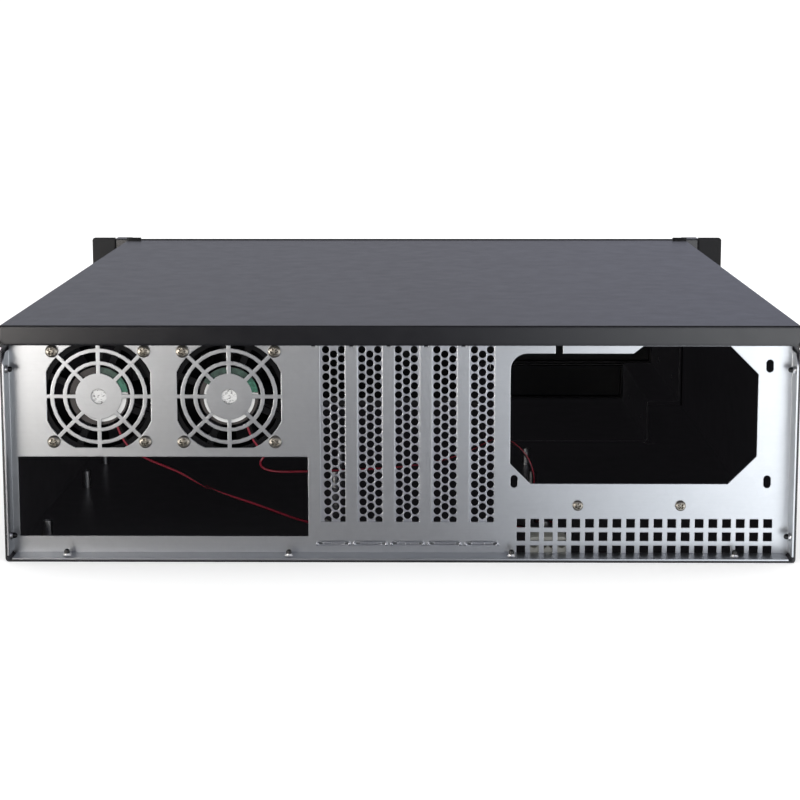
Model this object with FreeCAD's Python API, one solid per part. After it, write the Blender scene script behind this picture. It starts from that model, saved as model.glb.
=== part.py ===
"""Empty 3U rackmount server case for a 19-inch rack, as an assembly of folded sheet-metal and moulded parts.

Frame: millimetres. +X is to the right as seen from behind the case, +Y runs from the rear panel
to the front panel, and +Z is up. The case rests on Z = 0, with the origin at the middle of its footprint.
Depths named "from the rear" are counted forwards from the rear edge of the chassis.
"near" is how close two places may lie and still count as the same.
"""
import FreeCAD
import Part
import math
import os

Vector = FreeCAD.Vector

# Sheet and clearances
sheet = 1.0
cover_sheet = 1.0
ear_plate = 2.0
panel_plate = 2.0
bend_radius = 1.0
slide_gap = 0.1
fit_gap = 0.15
lip_gap = 0.2
near = 0.01

# Across the rear panel, from left to right as seen from behind
io_inset = 5.6
io_width = 158.75
slot_start_gap = 13.61
slot_pitch = 20.32
slot_count = 5
slot_last_gap = 15.36
psu_window_width = 134.3
psu_side_gap = 20.1
slots_width = slot_start_gap + slot_pitch * (slot_count - 1) + slot_last_gap

# Whole case: its body is as wide as what stands side by side in the rear panel
rack_width = 482.6
rack_panel_height = 131.8
body_depth = 468.5
case_drop = 1.8
body_width = io_inset + io_width + slots_width + psu_window_width + psu_side_gap
half_width = body_width / 2
inner_half_width = half_width - sheet
case_height = rack_panel_height - case_drop
side_height = case_height - cover_sheet - lip_gap

# Chassis: a folded tray with a front wall
joggle_drop = 14.7
joggle_rise = 2.0
front_wall_border = 16.0
front_window_bottom = 7.5
front_window_drop = 8.8
front_rail_depth = 12.0
joggle_top = case_height - joggle_drop
joggle_step = cover_sheet + slide_gap
front_window_top = side_height - front_window_drop
front_window_half_width = half_width - front_wall_border

# Top cover
cover_flange = 12.0
cover_lip = 10.8
cover_setback = 1.1
cover_corner = 3.0
cover_bend_radius = 0.4
cover_edge_radius = 0.8
cover_travel = 18.0
cover_screw_rear = 70.0
cover_screw_front = 78.5
cover_screw_drop = 6.4
cover_screw_radius = 1.5
cover_screw_head_radius = 3.4
cover_screw_head = 1.2
cover_reach = lip_gap + cover_sheet
cover_length = body_depth - cover_setback
cover_screw_depths = (cover_screw_rear, body_depth - cover_screw_front)

# Rear panel, set back into the chassis
rear_recess = 13.8
flange_start = 0.3
flange_corner = 7.0
flange_gap = 0.7
panel_corner_cut = 2.0
side_flange_bottom = 3.2
bottom_flange_inset = 3.7
panel_top_flange = 12.5
panel_top = side_height
side_flange_top = joggle_top - flange_gap
bottom_flange_half_width = half_width - bottom_flange_inset

# Input-output opening and the slots' places
io_bottom = 11.0
io_height = 44.45
slot_zone_margin = 12.86
io_left = -half_width + io_inset
first_slot = io_left + io_width + slot_start_gap
slot_places = [first_slot + slot_pitch * index for index in range(slot_count)]
slot_zone = (slot_places[0] - slot_zone_margin, slot_places[-1] + slot_zone_margin)

# Fans: as large as the room above the input-output opening, with the free width shared out beside them
fan_left_share = 0.45676
fan_between_share = 0.2439
fan_room_top = 9.9
fan_room_bottom = 3.45
fan_depth = 25.0
fan_hole_inset = 5.0
fan_flange = 4.0
fan_corner = 2.0
fan_wall = 1.2
fan_open_corner = 8.0
fan_hole_radius = 2.2
fan_low = io_bottom + io_height + fan_room_bottom
fan_size = panel_top - fan_room_top - fan_low
fan_centre_height = fan_low + fan_size / 2
fan_free_width = slot_zone[0] + half_width - 2 * fan_size
fan_pitch = fan_size + fan_free_width * fan_between_share
first_fan = -half_width + fan_free_width * fan_left_share + fan_size / 2
fan_places = (first_fan, first_fan + fan_pitch)
fan_screw_spacing = fan_size - 2 * fan_hole_inset
fan_bore_radius = fan_size / 2 - fan_wall

# Stamped finger guards: two rings, a disc and spokes
guard_sides = 32
guard_ring = 2.1
guard_edge = 1.6
guard_ring_edge = 1.9
guard_inner_share = 0.7358
guard_disc_share = 0.4792
guard_screw_land = 3.855
guard_hole_radius = 4.2
guard_spoke = 2.1
guard_spokes = 8
guard_cut_half_width = fan_size / 2 - guard_edge
guard_cut_radius = fan_screw_spacing / math.sqrt(2) - guard_screw_land
guard_outer_radius = guard_cut_half_width - guard_ring_edge
guard_inner_radius = guard_outer_radius * guard_inner_share
guard_disc_radius = guard_outer_radius * guard_disc_share

# Fan motors and impellers
motor_lip = 3.5
motor_base = 3.0
motor_setback = 0.6
motor_base_radius = guard_disc_radius + motor_lip
strut_width = 3.6
strut_count = 4
strut_turn = 22.5
strut_root = 0.4
hub_sides = 28
hub_step = 0.4
hub_radius = motor_base_radius - hub_step
hub_depth = 19.6
hub_corner = 1.0
hub_gap = 0.6
blade_count = 7
blade_tip_gap = 1.0
blade_thickness = 1.1
blade_chord_root = 13.0
blade_chord_tip = 18.0
blade_pitch = 38.0
blade_root_depth = 2.5
shaft_radius = 1.5
bearing_gap = 0.05
shaft_end_gap = 0.4

# Fan screws
screw_sides = 12
shank_sides = 6
fan_screw_head_radius = 3.5
fan_screw_head = 2.3
fan_screw_radius = 1.9
fan_screw_length = 9.0
clearance_hole = 0.3

# Power supply window and its four mounting slots
psu_hole_drop = 86.8
psu_hole_gap = 1.4
psu_side_spacing = 64.0
psu_top_hole = (24.0, 74.0)
psu_edge = 6.0
psu_slot_width = 4.0
psu_slot_height = 7.0
psu_window_margin = (2.3, 1.3)
psu_window_rise = (70.7, 74.8)
psu_window_run = (64.2, 69.4)
psu_window_cut = 15.4
psu_window_low_cut = 11.2
psu_window_corner = 9.0
corner_steps = 6
psu_window_right = half_width - psu_side_gap
psu_window_left = psu_window_right - psu_window_width
psu_left_hole = psu_window_left + psu_window_margin[0]
psu_width_spacing = psu_window_width + psu_window_margin[0] + psu_hole_gap
psu_bottom_hole = panel_top - psu_hole_drop
psu_window_bottom = psu_bottom_hole - psu_window_margin[1]
psu_window_step_height = psu_bottom_hole + psu_window_rise[0]
psu_window_top = psu_bottom_hole + psu_window_rise[1]
psu_window_step = (psu_left_hole + psu_window_run[0], psu_left_hole + psu_window_run[1])

# Power supply shelf
shelf_width = 74.0
shelf_depth = 18.0
shelf_drop = 14.0
shelf_screw_drop = 13.4
shelf_screw_steps = (35.0, 91.1)
shelf_screw_radius = 1.5
shelf_screw_head_radius = 2.9
shelf_screw_head = 2.0
shelf_screw_length = 6.0
shelf_screw_height = psu_bottom_hole - shelf_screw_drop
shelf_screws = (psu_left_hole + shelf_screw_steps[0], psu_left_hole + shelf_screw_steps[1])

# Square vents under the power supply
vent_step = 1.6
vent_drop = 7.6
vent_size = 4.8
vent_pitch = 7.5
vent_columns = 19
vent_left = psu_left_hole + vent_step
vent_top = shelf_screw_height - vent_drop
vent_rows = round((vent_top - sheet) / vent_pitch)

# Expansion slots and their covers
slot_land = 6.82
slot_bottom = 19.2
slot_edge = 3.3
slot_ledge_drop = 6.1
ledge_notch_width = 2.8
ledge_notch_depth = 6.2
slot_cover_gap = 1.9
slot_cover_sheet = 0.8
slot_cover_foot_width = 11.0
slot_cover_foot_top = 17.0
slot_cover_foot_bottom = 4.4
slot_cover_taper = 3.0
slot_tab_length = 11.4
slot_tab_notch = 4.4
perforation = 3.7
perforation_pitch = 5.0
perforation_drop = 2.4
perforations_joined = 4
perforation_column = 4.33
lance_bottom = 5.9
lance_height = 2.6
lance_gap = 2.32
lance_depth = 1.2
lance_strip = 0.8
slot_width = slot_pitch - slot_land
slot_cover_width = slot_pitch - slot_cover_gap
lance_width = slot_pitch - lance_gap
slot_ledge_top = panel_top - slot_ledge_drop
slot_top = slot_ledge_top - slot_edge
perforation_top = slot_top - perforation_drop
perforation_rows = math.ceil((perforation_top - slot_bottom) / perforation_pitch)

# Main board standoffs, on the ATX hole grid
board_inset = 7.9
board_columns = (6.35, 163.83, 288.29)
board_rows = (33.02, 165.1, 237.49)
standoff_height = 10.6
standoff_across_flats = 5.0
standoff_bore = 1.35
standoff_bore_depth = 6.0
board_left = -half_width + board_inset

# Stepped drive cage: wide bays over one narrow bay
cage_inset = 174.6
wide_bays = 2
wide_bay_width = 150.0
narrow_bay_step = 23.6
narrow_bay_width = 105.0
cage_bottom = 6.0
cage_ledge = 35.0
cage_headroom = 9.2
cage_front = 165.5
cage_front_gap = 0.3
cage_top_flange = 10.0
cage_foot_setback = 16.0
cage_foot_width = 8.0
drive_slot = (8.0, 3.4)
drive_slot_depths = (52.0, 131.0)
drive_slot_rise = 10.0
cage_left = half_width - cage_inset
cage_rear = body_depth - cage_front
narrow_bay_left = cage_left + narrow_bay_step
cage_top = side_height - cage_headroom
wide_bay_height = (cage_top - cage_ledge) / wide_bays

# Front panel, ears and handles
front_panel_margin = 14.9
front_panel_drop = 1.2
front_panel_bottom = 0.8
front_panel_corner = 1.5
ear_width = 37.3
ear_corner = 2.3
ear_notch_margin = (26.6, 17.7)
ear_notch_height = 22.0
rack_slot_margin = 8.75
rack_slot_spacing_z = 57.15
rack_slot_width = 6.8
rack_slot_length = 10.3
handle_width = 13.0
handle_margin = 0.9
handle_reach = 34.0
handle_bar = 9.0
handle_corner = 12.0
handle_edge = 1.0
front_panel_half_width = rack_width / 2 - front_panel_margin
front_panel_top = rack_panel_height - front_panel_drop
rack_slot_spacing_x = rack_width - 2 * rack_slot_margin
ear_inner = rack_width / 2 - ear_width
ear_notch_inner = rack_width / 2 - ear_notch_margin[0]
ear_notch_outer = rack_width / 2 - ear_notch_margin[1]
handle_height = front_panel_top - front_panel_bottom - 2 * handle_margin

# Bay covers
bay_cover_face = 2.0
bay_cover_wall = 1.5
bay_cover_depth = 10.0
bay_cover_edge = 0.5
wide_cover_width = 147.4
wide_cover_gap = 1.0
narrow_cover_width = 101.6
narrow_cover_height = 25.4
bay_cover_gap = 0.15
wide_cover_height = wide_bay_height - wide_cover_gap

# Push buttons, lamps and their board
control_step = 37.9
power_button_drop = 30.8
reset_button_drop = 50.8
lamp_drops = (66.8, 78.8)
power_button_radius = 6.0
reset_button_radius = 3.0
button_sides = 24
button_gap = 0.2
button_proud = 2.4
button_flange = 1.4
button_flange_step = 1.2
button_travel = 1.5
button_stem_radius = 1.5
button_stem = 6.0
switch_size = 9.0
switch_depth = 5.0
switch_well_gap = 0.25
switch_floor = 1.0
lamp_radius = 1.5
lamp_proud = 1.0
lamp_gap = 0.1
board_width = 16.0
board_drops = (88.8, 12.8)
board_sheet = 1.6
board_post_radius = 2.0
board_post_inset = 3.5
control_x = cage_left - control_step
power_button_height = side_height - power_button_drop
reset_button_height = side_height - reset_button_drop
lamp_heights = (side_height - lamp_drops[0], side_height - lamp_drops[1])
board_low = side_height - board_drops[0]
board_high = side_height - board_drops[1]
board_posts = (board_low + board_post_inset, board_high - board_post_inset)

# Front ventilation slots and the dust filter behind them
front_vent_ear_gap = 5.5
front_vent_inset = 8.5
front_vent_right_gap = 33.0
front_vent_rows = 2
front_vent_width = 5.0
front_vent_pitch = 10.4
front_vent_bottom = 13.0
front_vent_top_gap = 5.0
front_vent_gap = 14.0
filter_depth = 4.0
filter_margin = 3.0
front_vent_left = front_vent_inset - min(ear_inner - front_vent_ear_gap, front_window_half_width)
front_vent_columns = int((control_x - front_vent_right_gap - front_vent_left) / front_vent_pitch)
front_vent_room = front_window_top - front_vent_top_gap - front_vent_bottom
front_vent_row_pitch = (front_vent_room + front_vent_gap) / front_vent_rows
front_vent_height = front_vent_row_pitch - front_vent_gap

# Fan leads and their shared plug
lead_radius = 1.0
plug_size = (21.0, 24.0, 9.0)
plug_place = (81.5, 26.0)
plug_corner = 1.2
lead_entry_offset = 6.5
lead_clip = (5.0, 4.0, 4.6)
lead_clip_inset = 12.5
lead_arc_share = 0.45
lead_drop = 2.8
lead_run = 18.0

# Depths along Y that follow from the sizes
front_stack = ear_plate + panel_plate
total_depth = cover_reach + body_depth + front_stack + handle_reach
rear_edge = cover_reach - total_depth / 2
ear_rear = rear_edge + body_depth
panel_rear = ear_rear + ear_plate
panel_front = panel_rear + panel_plate
web_rear = rear_edge + rear_recess
web_front = web_rear + sheet
plug_back = web_front + plug_place[1]


def box(low_x, high_x, low_y, high_y, low_z, high_z):
    """A block between two corners."""
    corner = Vector(low_x, low_y, low_z)
    return Part.makeBox(high_x - low_x, high_y - low_y, high_z - low_z, corner)


def rounded_block(low_x, high_x, low_y, high_y, low_z, high_z, radius, direction):
    """A block whose four edges along one direction are rounded."""
    block = box(low_x, high_x, low_y, high_y, low_z, high_z)
    along = [edge for edge in block.Edges if abs(edge.tangentAt(edge.FirstParameter).dot(direction)) > 0.99]
    return block.makeFillet(radius, along)


def rod(radius, start_y, end_y, x, z):
    """A round bar along Y."""
    return Part.makeCylinder(radius, end_y - start_y, Vector(x, start_y, z), Vector(0, 1, 0))


def prism(radius, sides, start_y, end_y, x, z):
    """A many-sided bar along Y; its corners lie on the radius."""
    corners = []
    for step in range(sides + 1):
        angle = 2 * math.pi * step / sides
        corners.append(Vector(x + radius * math.cos(angle), start_y, z + radius * math.sin(angle)))
    face = Part.Face(Part.makePolygon(corners))
    return face.extrude(Vector(0, end_y - start_y, 0))


def cross_prism(radius, sides, start_x, end_x, y, z):
    """A many-sided bar along X."""
    bar = prism(radius, sides, 0, abs(end_x - start_x), 0, 0)
    bar.rotate(Vector(0, 0, 0), Vector(0, 0, 1), -90 if end_x > start_x else 90)
    bar.translate(Vector(start_x, y, z))
    return bar


def plate_in_xz(points, start_y, end_y):
    """A flat plate from its outline seen along Y."""
    corners = [Vector(x, start_y, z) for x, z in points]
    face = Part.Face(Part.makePolygon(corners + corners[:1]))
    return face.extrude(Vector(0, end_y - start_y, 0))


def unit(vector):
    return vector / vector.Length


def folded_strip(points, thickness, inner_radius, start_y, end_y):
    """A sheet of even thickness folded along the middle line through the (x, z) points, extruded along Y."""
    middle = [Vector(x, start_y, z) for x, z in points]
    turn_radius = inner_radius + thickness / 2
    normal_turn = Vector(0, 1, 0)
    sides = ([], [])
    for side, offset in ((0, thickness / 2), (1, -thickness / 2)):
        path = sides[side]
        here = middle[0] + unit(middle[1] - middle[0]).cross(normal_turn) * offset
        for index in range(1, len(middle) - 1):
            before = unit(middle[index] - middle[index - 1])
            after = unit(middle[index + 1] - middle[index])
            half_turn = before.getAngle(after) / 2
            reach = turn_radius * math.tan(half_turn)
            arc_start = middle[index] - before * reach
            arc_end = middle[index] + after * reach
            inward = unit(after - before)
            centre = middle[index] + inward * (turn_radius / math.cos(half_turn))
            arc_middle = centre - inward * turn_radius
            first = arc_start + before.cross(normal_turn) * offset
            last = arc_end + after.cross(normal_turn) * offset
            scale = (first - centre).Length / turn_radius
            crown = centre + (arc_middle - centre) * scale
            path.append(Part.LineSegment(here, first).toShape())
            path.append(Part.Arc(first, crown, last).toShape())
            here = last
        end = middle[-1] + unit(middle[-1] - middle[-2]).cross(normal_turn) * offset
        path.append(Part.LineSegment(here, end).toShape())
    start_cap = Part.LineSegment(sides[0][0].Vertexes[0].Point, sides[1][0].Vertexes[0].Point).toShape()
    end_cap = Part.LineSegment(sides[0][-1].Vertexes[-1].Point, sides[1][-1].Vertexes[-1].Point).toShape()
    outline = Part.Wire(Part.__sortEdges__(sides[0] + sides[1] + [start_cap, end_cap]))
    return Part.Face(outline).extrude(Vector(0, end_y - start_y, 0))


def joined(shapes):
    """One clean solid from touching shapes."""
    return shapes[0].multiFuse(shapes[1:]).removeSplitter()


def save(name, shape):
    shape.exportStep(f"parts/{name}.step")


def save_group(name, solids):
    save(name, Part.makeCompound(solids))


def fan_corners():
    """The four screw places round a fan's middle, as (x, z) steps."""
    half = fan_screw_spacing / 2
    return [(-half, -half), (half, -half), (half, half), (-half, half)]


def cover_screw_places():
    """Each cover screw as (side, y)."""
    return [(side, rear_edge + depth) for side in (-1, 1) for depth in cover_screw_depths]


def make_chassis():
    """Floor and joggled sides in one folded tray, with a front wall and a rail under the cover's front."""
    out_x = half_width - sheet / 2
    in_x = out_x - joggle_step
    floor_z = sheet / 2
    profile = [
        (-in_x, side_height), (-in_x, joggle_top + joggle_rise), (-out_x, joggle_top), (-out_x, floor_z),
        (out_x, floor_z), (out_x, joggle_top), (in_x, joggle_top + joggle_rise), (in_x, side_height),
    ]
    tray = folded_strip(profile, sheet, bend_radius, rear_edge, ear_rear)
    wall_half_width = half_width - joggle_step - sheet
    wall_start = ear_rear - sheet
    wall = box(-wall_half_width, wall_half_width, wall_start, ear_rear, sheet, side_height)
    window = box(
        -front_window_half_width, front_window_half_width, wall_start, ear_rear, front_window_bottom,
        front_window_top
    )
    rail_start = ear_rear - front_rail_depth
    rail = box(-wall_half_width, wall_half_width, rail_start, ear_rear, side_height - sheet, side_height)
    body = joined([tray, wall.cut(window), rail])
    hole = cover_screw_radius + fit_gap
    tools = []
    for side, y in cover_screw_places():
        start, end = side * (in_x - sheet), side * (in_x + sheet)
        tools.append(cross_prism(hole, shank_sides, start, end, y, case_height - cover_screw_drop))
    return body.cut(tools)


def make_top_cover():
    """Lid with folded side flanges and a rear lip. Slots let it slide back past its loosened screws."""
    outer = half_width
    bend = cover_bend_radius + cover_sheet
    top_line = case_height - cover_sheet / 2
    side_line = outer - cover_sheet / 2
    flange_end = case_height - cover_flange
    profile = [(-side_line, flange_end), (-side_line, top_line), (side_line, top_line), (side_line, flange_end)]
    front = rear_edge + cover_length
    pan = folded_strip(profile, cover_sheet, cover_bend_radius, rear_edge - lip_gap, front)
    lip_outline = [
        (-outer, case_height - bend), (-outer, case_height - cover_lip + cover_corner),
        (-outer + cover_corner, case_height - cover_lip), (outer - cover_corner, case_height - cover_lip),
        (outer, case_height - cover_lip + cover_corner), (outer, case_height - bend),
        (outer - bend, case_height), (-outer + bend, case_height),
    ]
    lip = plate_in_xz(lip_outline, rear_edge - cover_reach, rear_edge - lip_gap)
    cover = joined([pan, lip])
    top_edges = []
    for edge in cover.Edges:
        box_of_edge = edge.BoundBox
        at_rear = abs(box_of_edge.YMax - rear_edge + cover_reach) < near
        if at_rear and box_of_edge.ZMin > case_height - near and edge.Length > outer:
            top_edges.append(edge)
    cover = cover.makeFillet(cover_edge_radius, top_edges)
    slot_half = cover_screw_radius + fit_gap
    middle = case_height - cover_screw_drop
    for side, y in cover_screw_places():
        low_x, high_x = sorted((side * (outer - 2 * cover_sheet), side * (outer + cover_sheet)))
        ends = (y - slot_half, y + cover_travel + slot_half)
        cover = cover.cut(box(low_x, high_x, ends[0], ends[1], middle - slot_half, middle + slot_half))
    return cover


def make_cover_screws():
    """Low round heads clamp the cover's flanges; the shanks sit in the chassis sides."""
    z = case_height - cover_screw_drop
    tip = half_width - joggle_step - 2 * sheet
    seat = half_width + slide_gap
    screws = []
    for side, y in cover_screw_places():
        shank = cross_prism(cover_screw_radius, shank_sides, side * tip, side * seat, y, z)
        head_end = side * (seat + cover_screw_head)
        head = cross_prism(cover_screw_head_radius, screw_sides, side * seat, head_end, y, z)
        screws.append(shank.fuse(head))
    return screws


def guard_opening(x, z):
    """What is punched out of the rear panel for one finger guard: all but two rings, a disc and the spokes."""
    start = web_rear - sheet
    end = web_front + sheet
    round_cut = prism(guard_cut_radius, guard_sides, start, end, x, z)
    half = guard_cut_half_width
    opening = round_cut.common(box(x - half, x + half, start, end, z - half, z + half))
    keep = [prism(guard_disc_radius, guard_sides, start, end, x, z)]
    for outer in (guard_outer_radius, guard_inner_radius):
        ring = prism(outer, guard_sides, start, end, x, z)
        keep.append(ring.cut(prism(outer - guard_ring, guard_sides, start, end, x, z)))
    reach = 2 * guard_cut_radius
    for index in range(guard_spokes // 2):
        spoke = box(-reach, reach, start, end, -guard_spoke / 2, guard_spoke / 2)
        spoke.rotate(Vector(0, 0, 0), Vector(0, 1, 0), 360.0 / guard_spokes * index)
        spoke.translate(Vector(x, 0, z))
        keep.append(spoke)
    opening = opening.cut(keep[0].multiFuse(keep[1:]))
    return opening.fuse(prism(guard_hole_radius, guard_sides // 2, start, end, x, z))


def psu_window_outline():
    """Outline of the power supply opening, seen from behind, with its upper left corner rounded."""
    left, right = psu_window_left, psu_window_right
    low, high, step = psu_window_bottom, psu_window_top, psu_window_step_height
    outline = [
        (left + psu_window_low_cut, low), (right - psu_window_cut, low), (right, low + psu_window_cut),
        (right, high - psu_window_cut), (right - psu_window_cut, high), (psu_window_step[1], high),
        (psu_window_step[0], step),
    ]
    radius = psu_window_corner
    for index in range(corner_steps + 1):
        angle = math.pi / 2 * (1 + index / corner_steps)
        outline.append((left + radius + radius * math.cos(angle), step - radius + radius * math.sin(angle)))
    outline.append((left, low + psu_window_low_cut))
    return outline


def upright_slot(x, z, width, height, start_y, end_y):
    """A slot with round ends, standing upright."""
    straight = (height - width) / 2
    slot = box(x - width / 2, x + width / 2, start_y, end_y, z - straight, z + straight)
    ends = [rod(width / 2, start_y, end_y, x, z + end) for end in (-straight, straight)]
    return slot.multiFuse(ends)


def psu_slots():
    """Four slots for the power supply's screws; the upper one runs down into the window."""
    start, end = web_rear - sheet, web_front + sheet
    lower = psu_bottom_hole
    right = psu_left_hole + psu_width_spacing
    places = [(psu_left_hole, lower), (right, lower), (right, lower + psu_side_spacing)]
    slots = [upright_slot(x, z, psu_slot_width, psu_slot_height, start, end) for x, z in places]
    x = psu_left_hole + psu_top_hole[0]
    z = lower + psu_top_hole[1]
    slots.append(upright_slot(x, z, psu_slot_width, psu_slot_height, start, end))
    half = psu_slot_width / 2
    slots.append(box(x - half, x + half, start, end, psu_window_step_height - sheet, z))
    return slots


def make_lance(x):
    """A strip pressed inwards from the panel, which holds a slot cover's foot."""
    half = lance_width / 2
    back = web_front + lance_depth + lance_strip
    low, high = lance_bottom, lance_bottom + lance_height
    strip = box(x - half, x + half, web_rear, back, low, high)
    pocket_half = half - lance_strip
    pocket = box(x - pocket_half, x + pocket_half, web_rear, web_front + lance_depth, low, high)
    return strip.cut(pocket)


def make_rear_panel():
    """Galvanised panel with folded edges: finger guards, openings, slots, vents and the slot-cover ledge."""
    upper = half_width - joggle_step - sheet - slide_gap
    low_cut = panel_corner_cut
    slot_low, slot_high = slot_zone
    edge = inner_half_width
    step = joggle_top - 2 * bend_radius
    outline = [
        (-edge + low_cut, sheet), (edge - low_cut, sheet), (edge, sheet + low_cut), (edge, step),
        (upper, step + sheet), (upper, panel_top), (slot_high, panel_top), (slot_high, slot_ledge_top),
        (slot_low, slot_ledge_top), (slot_low, panel_top), (-upper, panel_top), (-upper, step + sheet),
        (-edge, step), (-edge, sheet + low_cut),
    ]
    web = plate_in_xz(outline, web_rear, web_front)
    start, end = web_rear - sheet, web_front + sheet
    tools = [guard_opening(x, fan_centre_height) for x in fan_places]
    for x in fan_places:
        for step_x, step_z in fan_corners():
            hole = fan_screw_radius + clearance_hole
            tools.append(prism(hole, shank_sides, start, end, x + step_x, fan_centre_height + step_z))
    tools.append(box(io_left, io_left + io_width, start, end, io_bottom, io_bottom + io_height))
    for x in slot_places:
        tools.append(box(x - slot_width / 2, x + slot_width / 2, start, end, slot_bottom, slot_top))
        half = lance_width / 2
        tools.append(box(x - half, x + half, start, end, lance_bottom, lance_bottom + lance_height))
        notch = x - slot_pitch / 2
        half = ledge_notch_width / 2
        notch_low = slot_ledge_top - ledge_notch_depth
        tools.append(box(notch - half, notch + half, start, end, notch_low, slot_ledge_top))
    tools.append(plate_in_xz(psu_window_outline(), start, end))
    tools.extend(psu_slots())
    for x in shelf_screws:
        hole = shelf_screw_radius + clearance_hole
        tools.append(prism(hole, shank_sides, start, end, x, shelf_screw_height))
    for row in range(vent_rows):
        top = vent_top - vent_pitch * row
        for column in range(vent_columns):
            left = vent_left + vent_pitch * column
            tools.append(box(left, left + vent_size, start, end, top - vent_size, top))
    web = web.cut(tools)
    lip = rear_edge + flange_start
    pieces = [web]
    for side in (-1, 1):
        low_x, high_x = sorted((side * edge, side * (edge - sheet)))
        flange = box(low_x, high_x, lip, web_front, side_flange_bottom, side_flange_top)
        corner = [
            line for line in flange.Edges
            if line.BoundBox.ZMin > side_flange_top - near and line.BoundBox.YMax < lip + near
        ]
        pieces.append(flange.makeFillet(flange_corner, corner))
    half = bottom_flange_half_width
    pieces.append(box(-half, half, lip, web_front, sheet, 2 * sheet))
    top_start = web_front - panel_top_flange
    pieces.append(box(slot_high, upper, top_start, web_front, panel_top - sheet, panel_top))
    pieces.append(box(-upper, slot_low, top_start, web_front, panel_top - sheet, panel_top))
    pieces.append(box(slot_low, slot_high, top_start, web_front, slot_ledge_top - sheet, slot_ledge_top))
    pieces.extend(make_lance(x) for x in slot_places)
    return joined(pieces)


def make_slot_cover(x):
    """Perforated slot cover: a narrow foot below and a tab folded back over the ledge.

    The round perforations are joined in fours into tall diamonds, which keeps the face count low.
    """
    half = slot_cover_width / 2
    foot = slot_cover_foot_width / 2
    back = web_front + slot_cover_sheet
    top = slot_ledge_top + slot_cover_sheet
    shoulder = slot_cover_foot_top + slot_cover_taper
    outline = [
        (x - half, shoulder), (x - foot, slot_cover_foot_top), (x - foot, slot_cover_foot_bottom),
        (x + foot, slot_cover_foot_bottom), (x + foot, slot_cover_foot_top), (x + half, shoulder),
        (x + half, top), (x - half, top),
    ]
    plate = plate_in_xz(outline, web_front, back)
    holes = []
    pitch = perforation_pitch * perforations_joined
    wide = perforation / 2 * math.sqrt(math.pi / 2)
    tall = wide + perforation_pitch * (perforations_joined - 1) / 2
    for column in (-1, 0, 1):
        rows = perforation_rows // perforations_joined - (column == 0)
        first = perforation_top - tall - (pitch / 2 if column == 0 else 0)
        centre_x = x + column * perforation_column
        for row in range(rows):
            z = first - pitch * row
            diamond = [(centre_x - wide, z), (centre_x, z - tall), (centre_x + wide, z), (centre_x, z + tall)]
            holes.append(plate_in_xz(diamond, web_front - sheet, back + sheet))
    plate = plate.cut(holes)
    tab = box(x - half, x + half, back - slot_tab_length, back, slot_ledge_top, top)
    notch_y = back - slot_tab_length / 2
    notch_half = slot_tab_notch / 2
    notch_x = x + half - slot_tab_notch
    notch = box(notch_x, x + half, notch_y - notch_half, notch_y + notch_half, slot_ledge_top, top)
    return joined([plate, tab.cut(notch)])


def make_fan_frame(x):
    """Square fan housing: open corners between two flanges, and a motor base on four struts."""
    z = fan_centre_height
    half = fan_size / 2
    start, end = web_front, web_front + fan_depth
    frame = box(x - half, x + half, start, end, z - half, z + half)
    frame = frame.makeChamfer(fan_corner, [edge for edge in frame.Edges if edge.BoundBox.YLength > near])
    frame = frame.cut(prism(fan_bore_radius, guard_sides, start, end, x, z))
    hole = fan_hole_radius
    tools = []
    inner = half - fan_open_corner
    for step_x, step_z in fan_corners():
        tools.append(prism(hole, shank_sides, start, end, x + step_x, z + step_z))
        low_x, high_x = sorted((x + math.copysign(inner, step_x), x + math.copysign(half, step_x)))
        low_z, high_z = sorted((z + math.copysign(inner, step_z), z + math.copysign(half, step_z)))
        tools.append(box(low_x, high_x, start + fan_flange, end - fan_flange, low_z, high_z))
    frame = frame.cut(tools)
    base_start = start + motor_setback
    base_end = base_start + motor_base
    base = prism(motor_base_radius, guard_sides, base_start, base_end, x, z)
    struts = []
    for index in range(strut_count):
        strut = box(0, fan_bore_radius + strut_root, base_start, base_end, -strut_width / 2, strut_width / 2)
        strut.rotate(Vector(0, 0, 0), Vector(0, 1, 0), strut_turn + 360.0 / strut_count * index)
        strut.translate(Vector(x, 0, z))
        struts.append(strut)
    bearing = rod(shaft_radius + bearing_gap, base_start, base_end, x, z)
    return joined([frame, base] + struts).cut(bearing)


def make_blade(root_radius, tip_radius, middle_y):
    """One flat blade that widens outwards along +X, tilted to its pitch."""
    start = -blade_thickness / 2
    root, tip = blade_chord_root / 2, blade_chord_tip / 2
    outline = [(root_radius, -root), (tip_radius, -tip), (tip_radius, tip), (root_radius, root)]
    blade = plate_in_xz(outline, start, -start)
    blade.rotate(Vector(0, 0, 0), Vector(1, 0, 0), -blade_pitch)
    blade.translate(Vector(0, middle_y, 0))
    return blade


def make_fan_rotor(x):
    """Impeller: hub, shaft and seven pitched blades, with the shaft in the motor base's bearing."""
    z = fan_centre_height
    base_end = web_front + motor_setback + motor_base
    hub_start = base_end + hub_gap
    hub = prism(hub_radius, hub_sides, hub_start, hub_start + hub_depth, x, z)
    rim = [edge for edge in hub.Edges if edge.BoundBox.YMin > hub_start + hub_depth - near]
    hub = hub.makeChamfer(hub_corner, rim)
    shaft = rod(shaft_radius, web_front + motor_setback + shaft_end_gap, hub_start + shaft_radius, x, z)
    middle_y = hub_start + hub_depth / 2
    tip_radius = math.sqrt((fan_bore_radius - blade_tip_gap) ** 2 - (blade_chord_tip / 2) ** 2)
    blade = make_blade(hub_radius - blade_root_depth, tip_radius, middle_y)
    blades = []
    for index in range(blade_count):
        turned = blade.copy()
        turned.rotate(Vector(0, 0, 0), Vector(0, 1, 0), 360.0 / blade_count * index)
        turned.translate(Vector(x, 0, z))
        blades.append(turned)
    return joined([hub, shaft] + blades)


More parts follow.
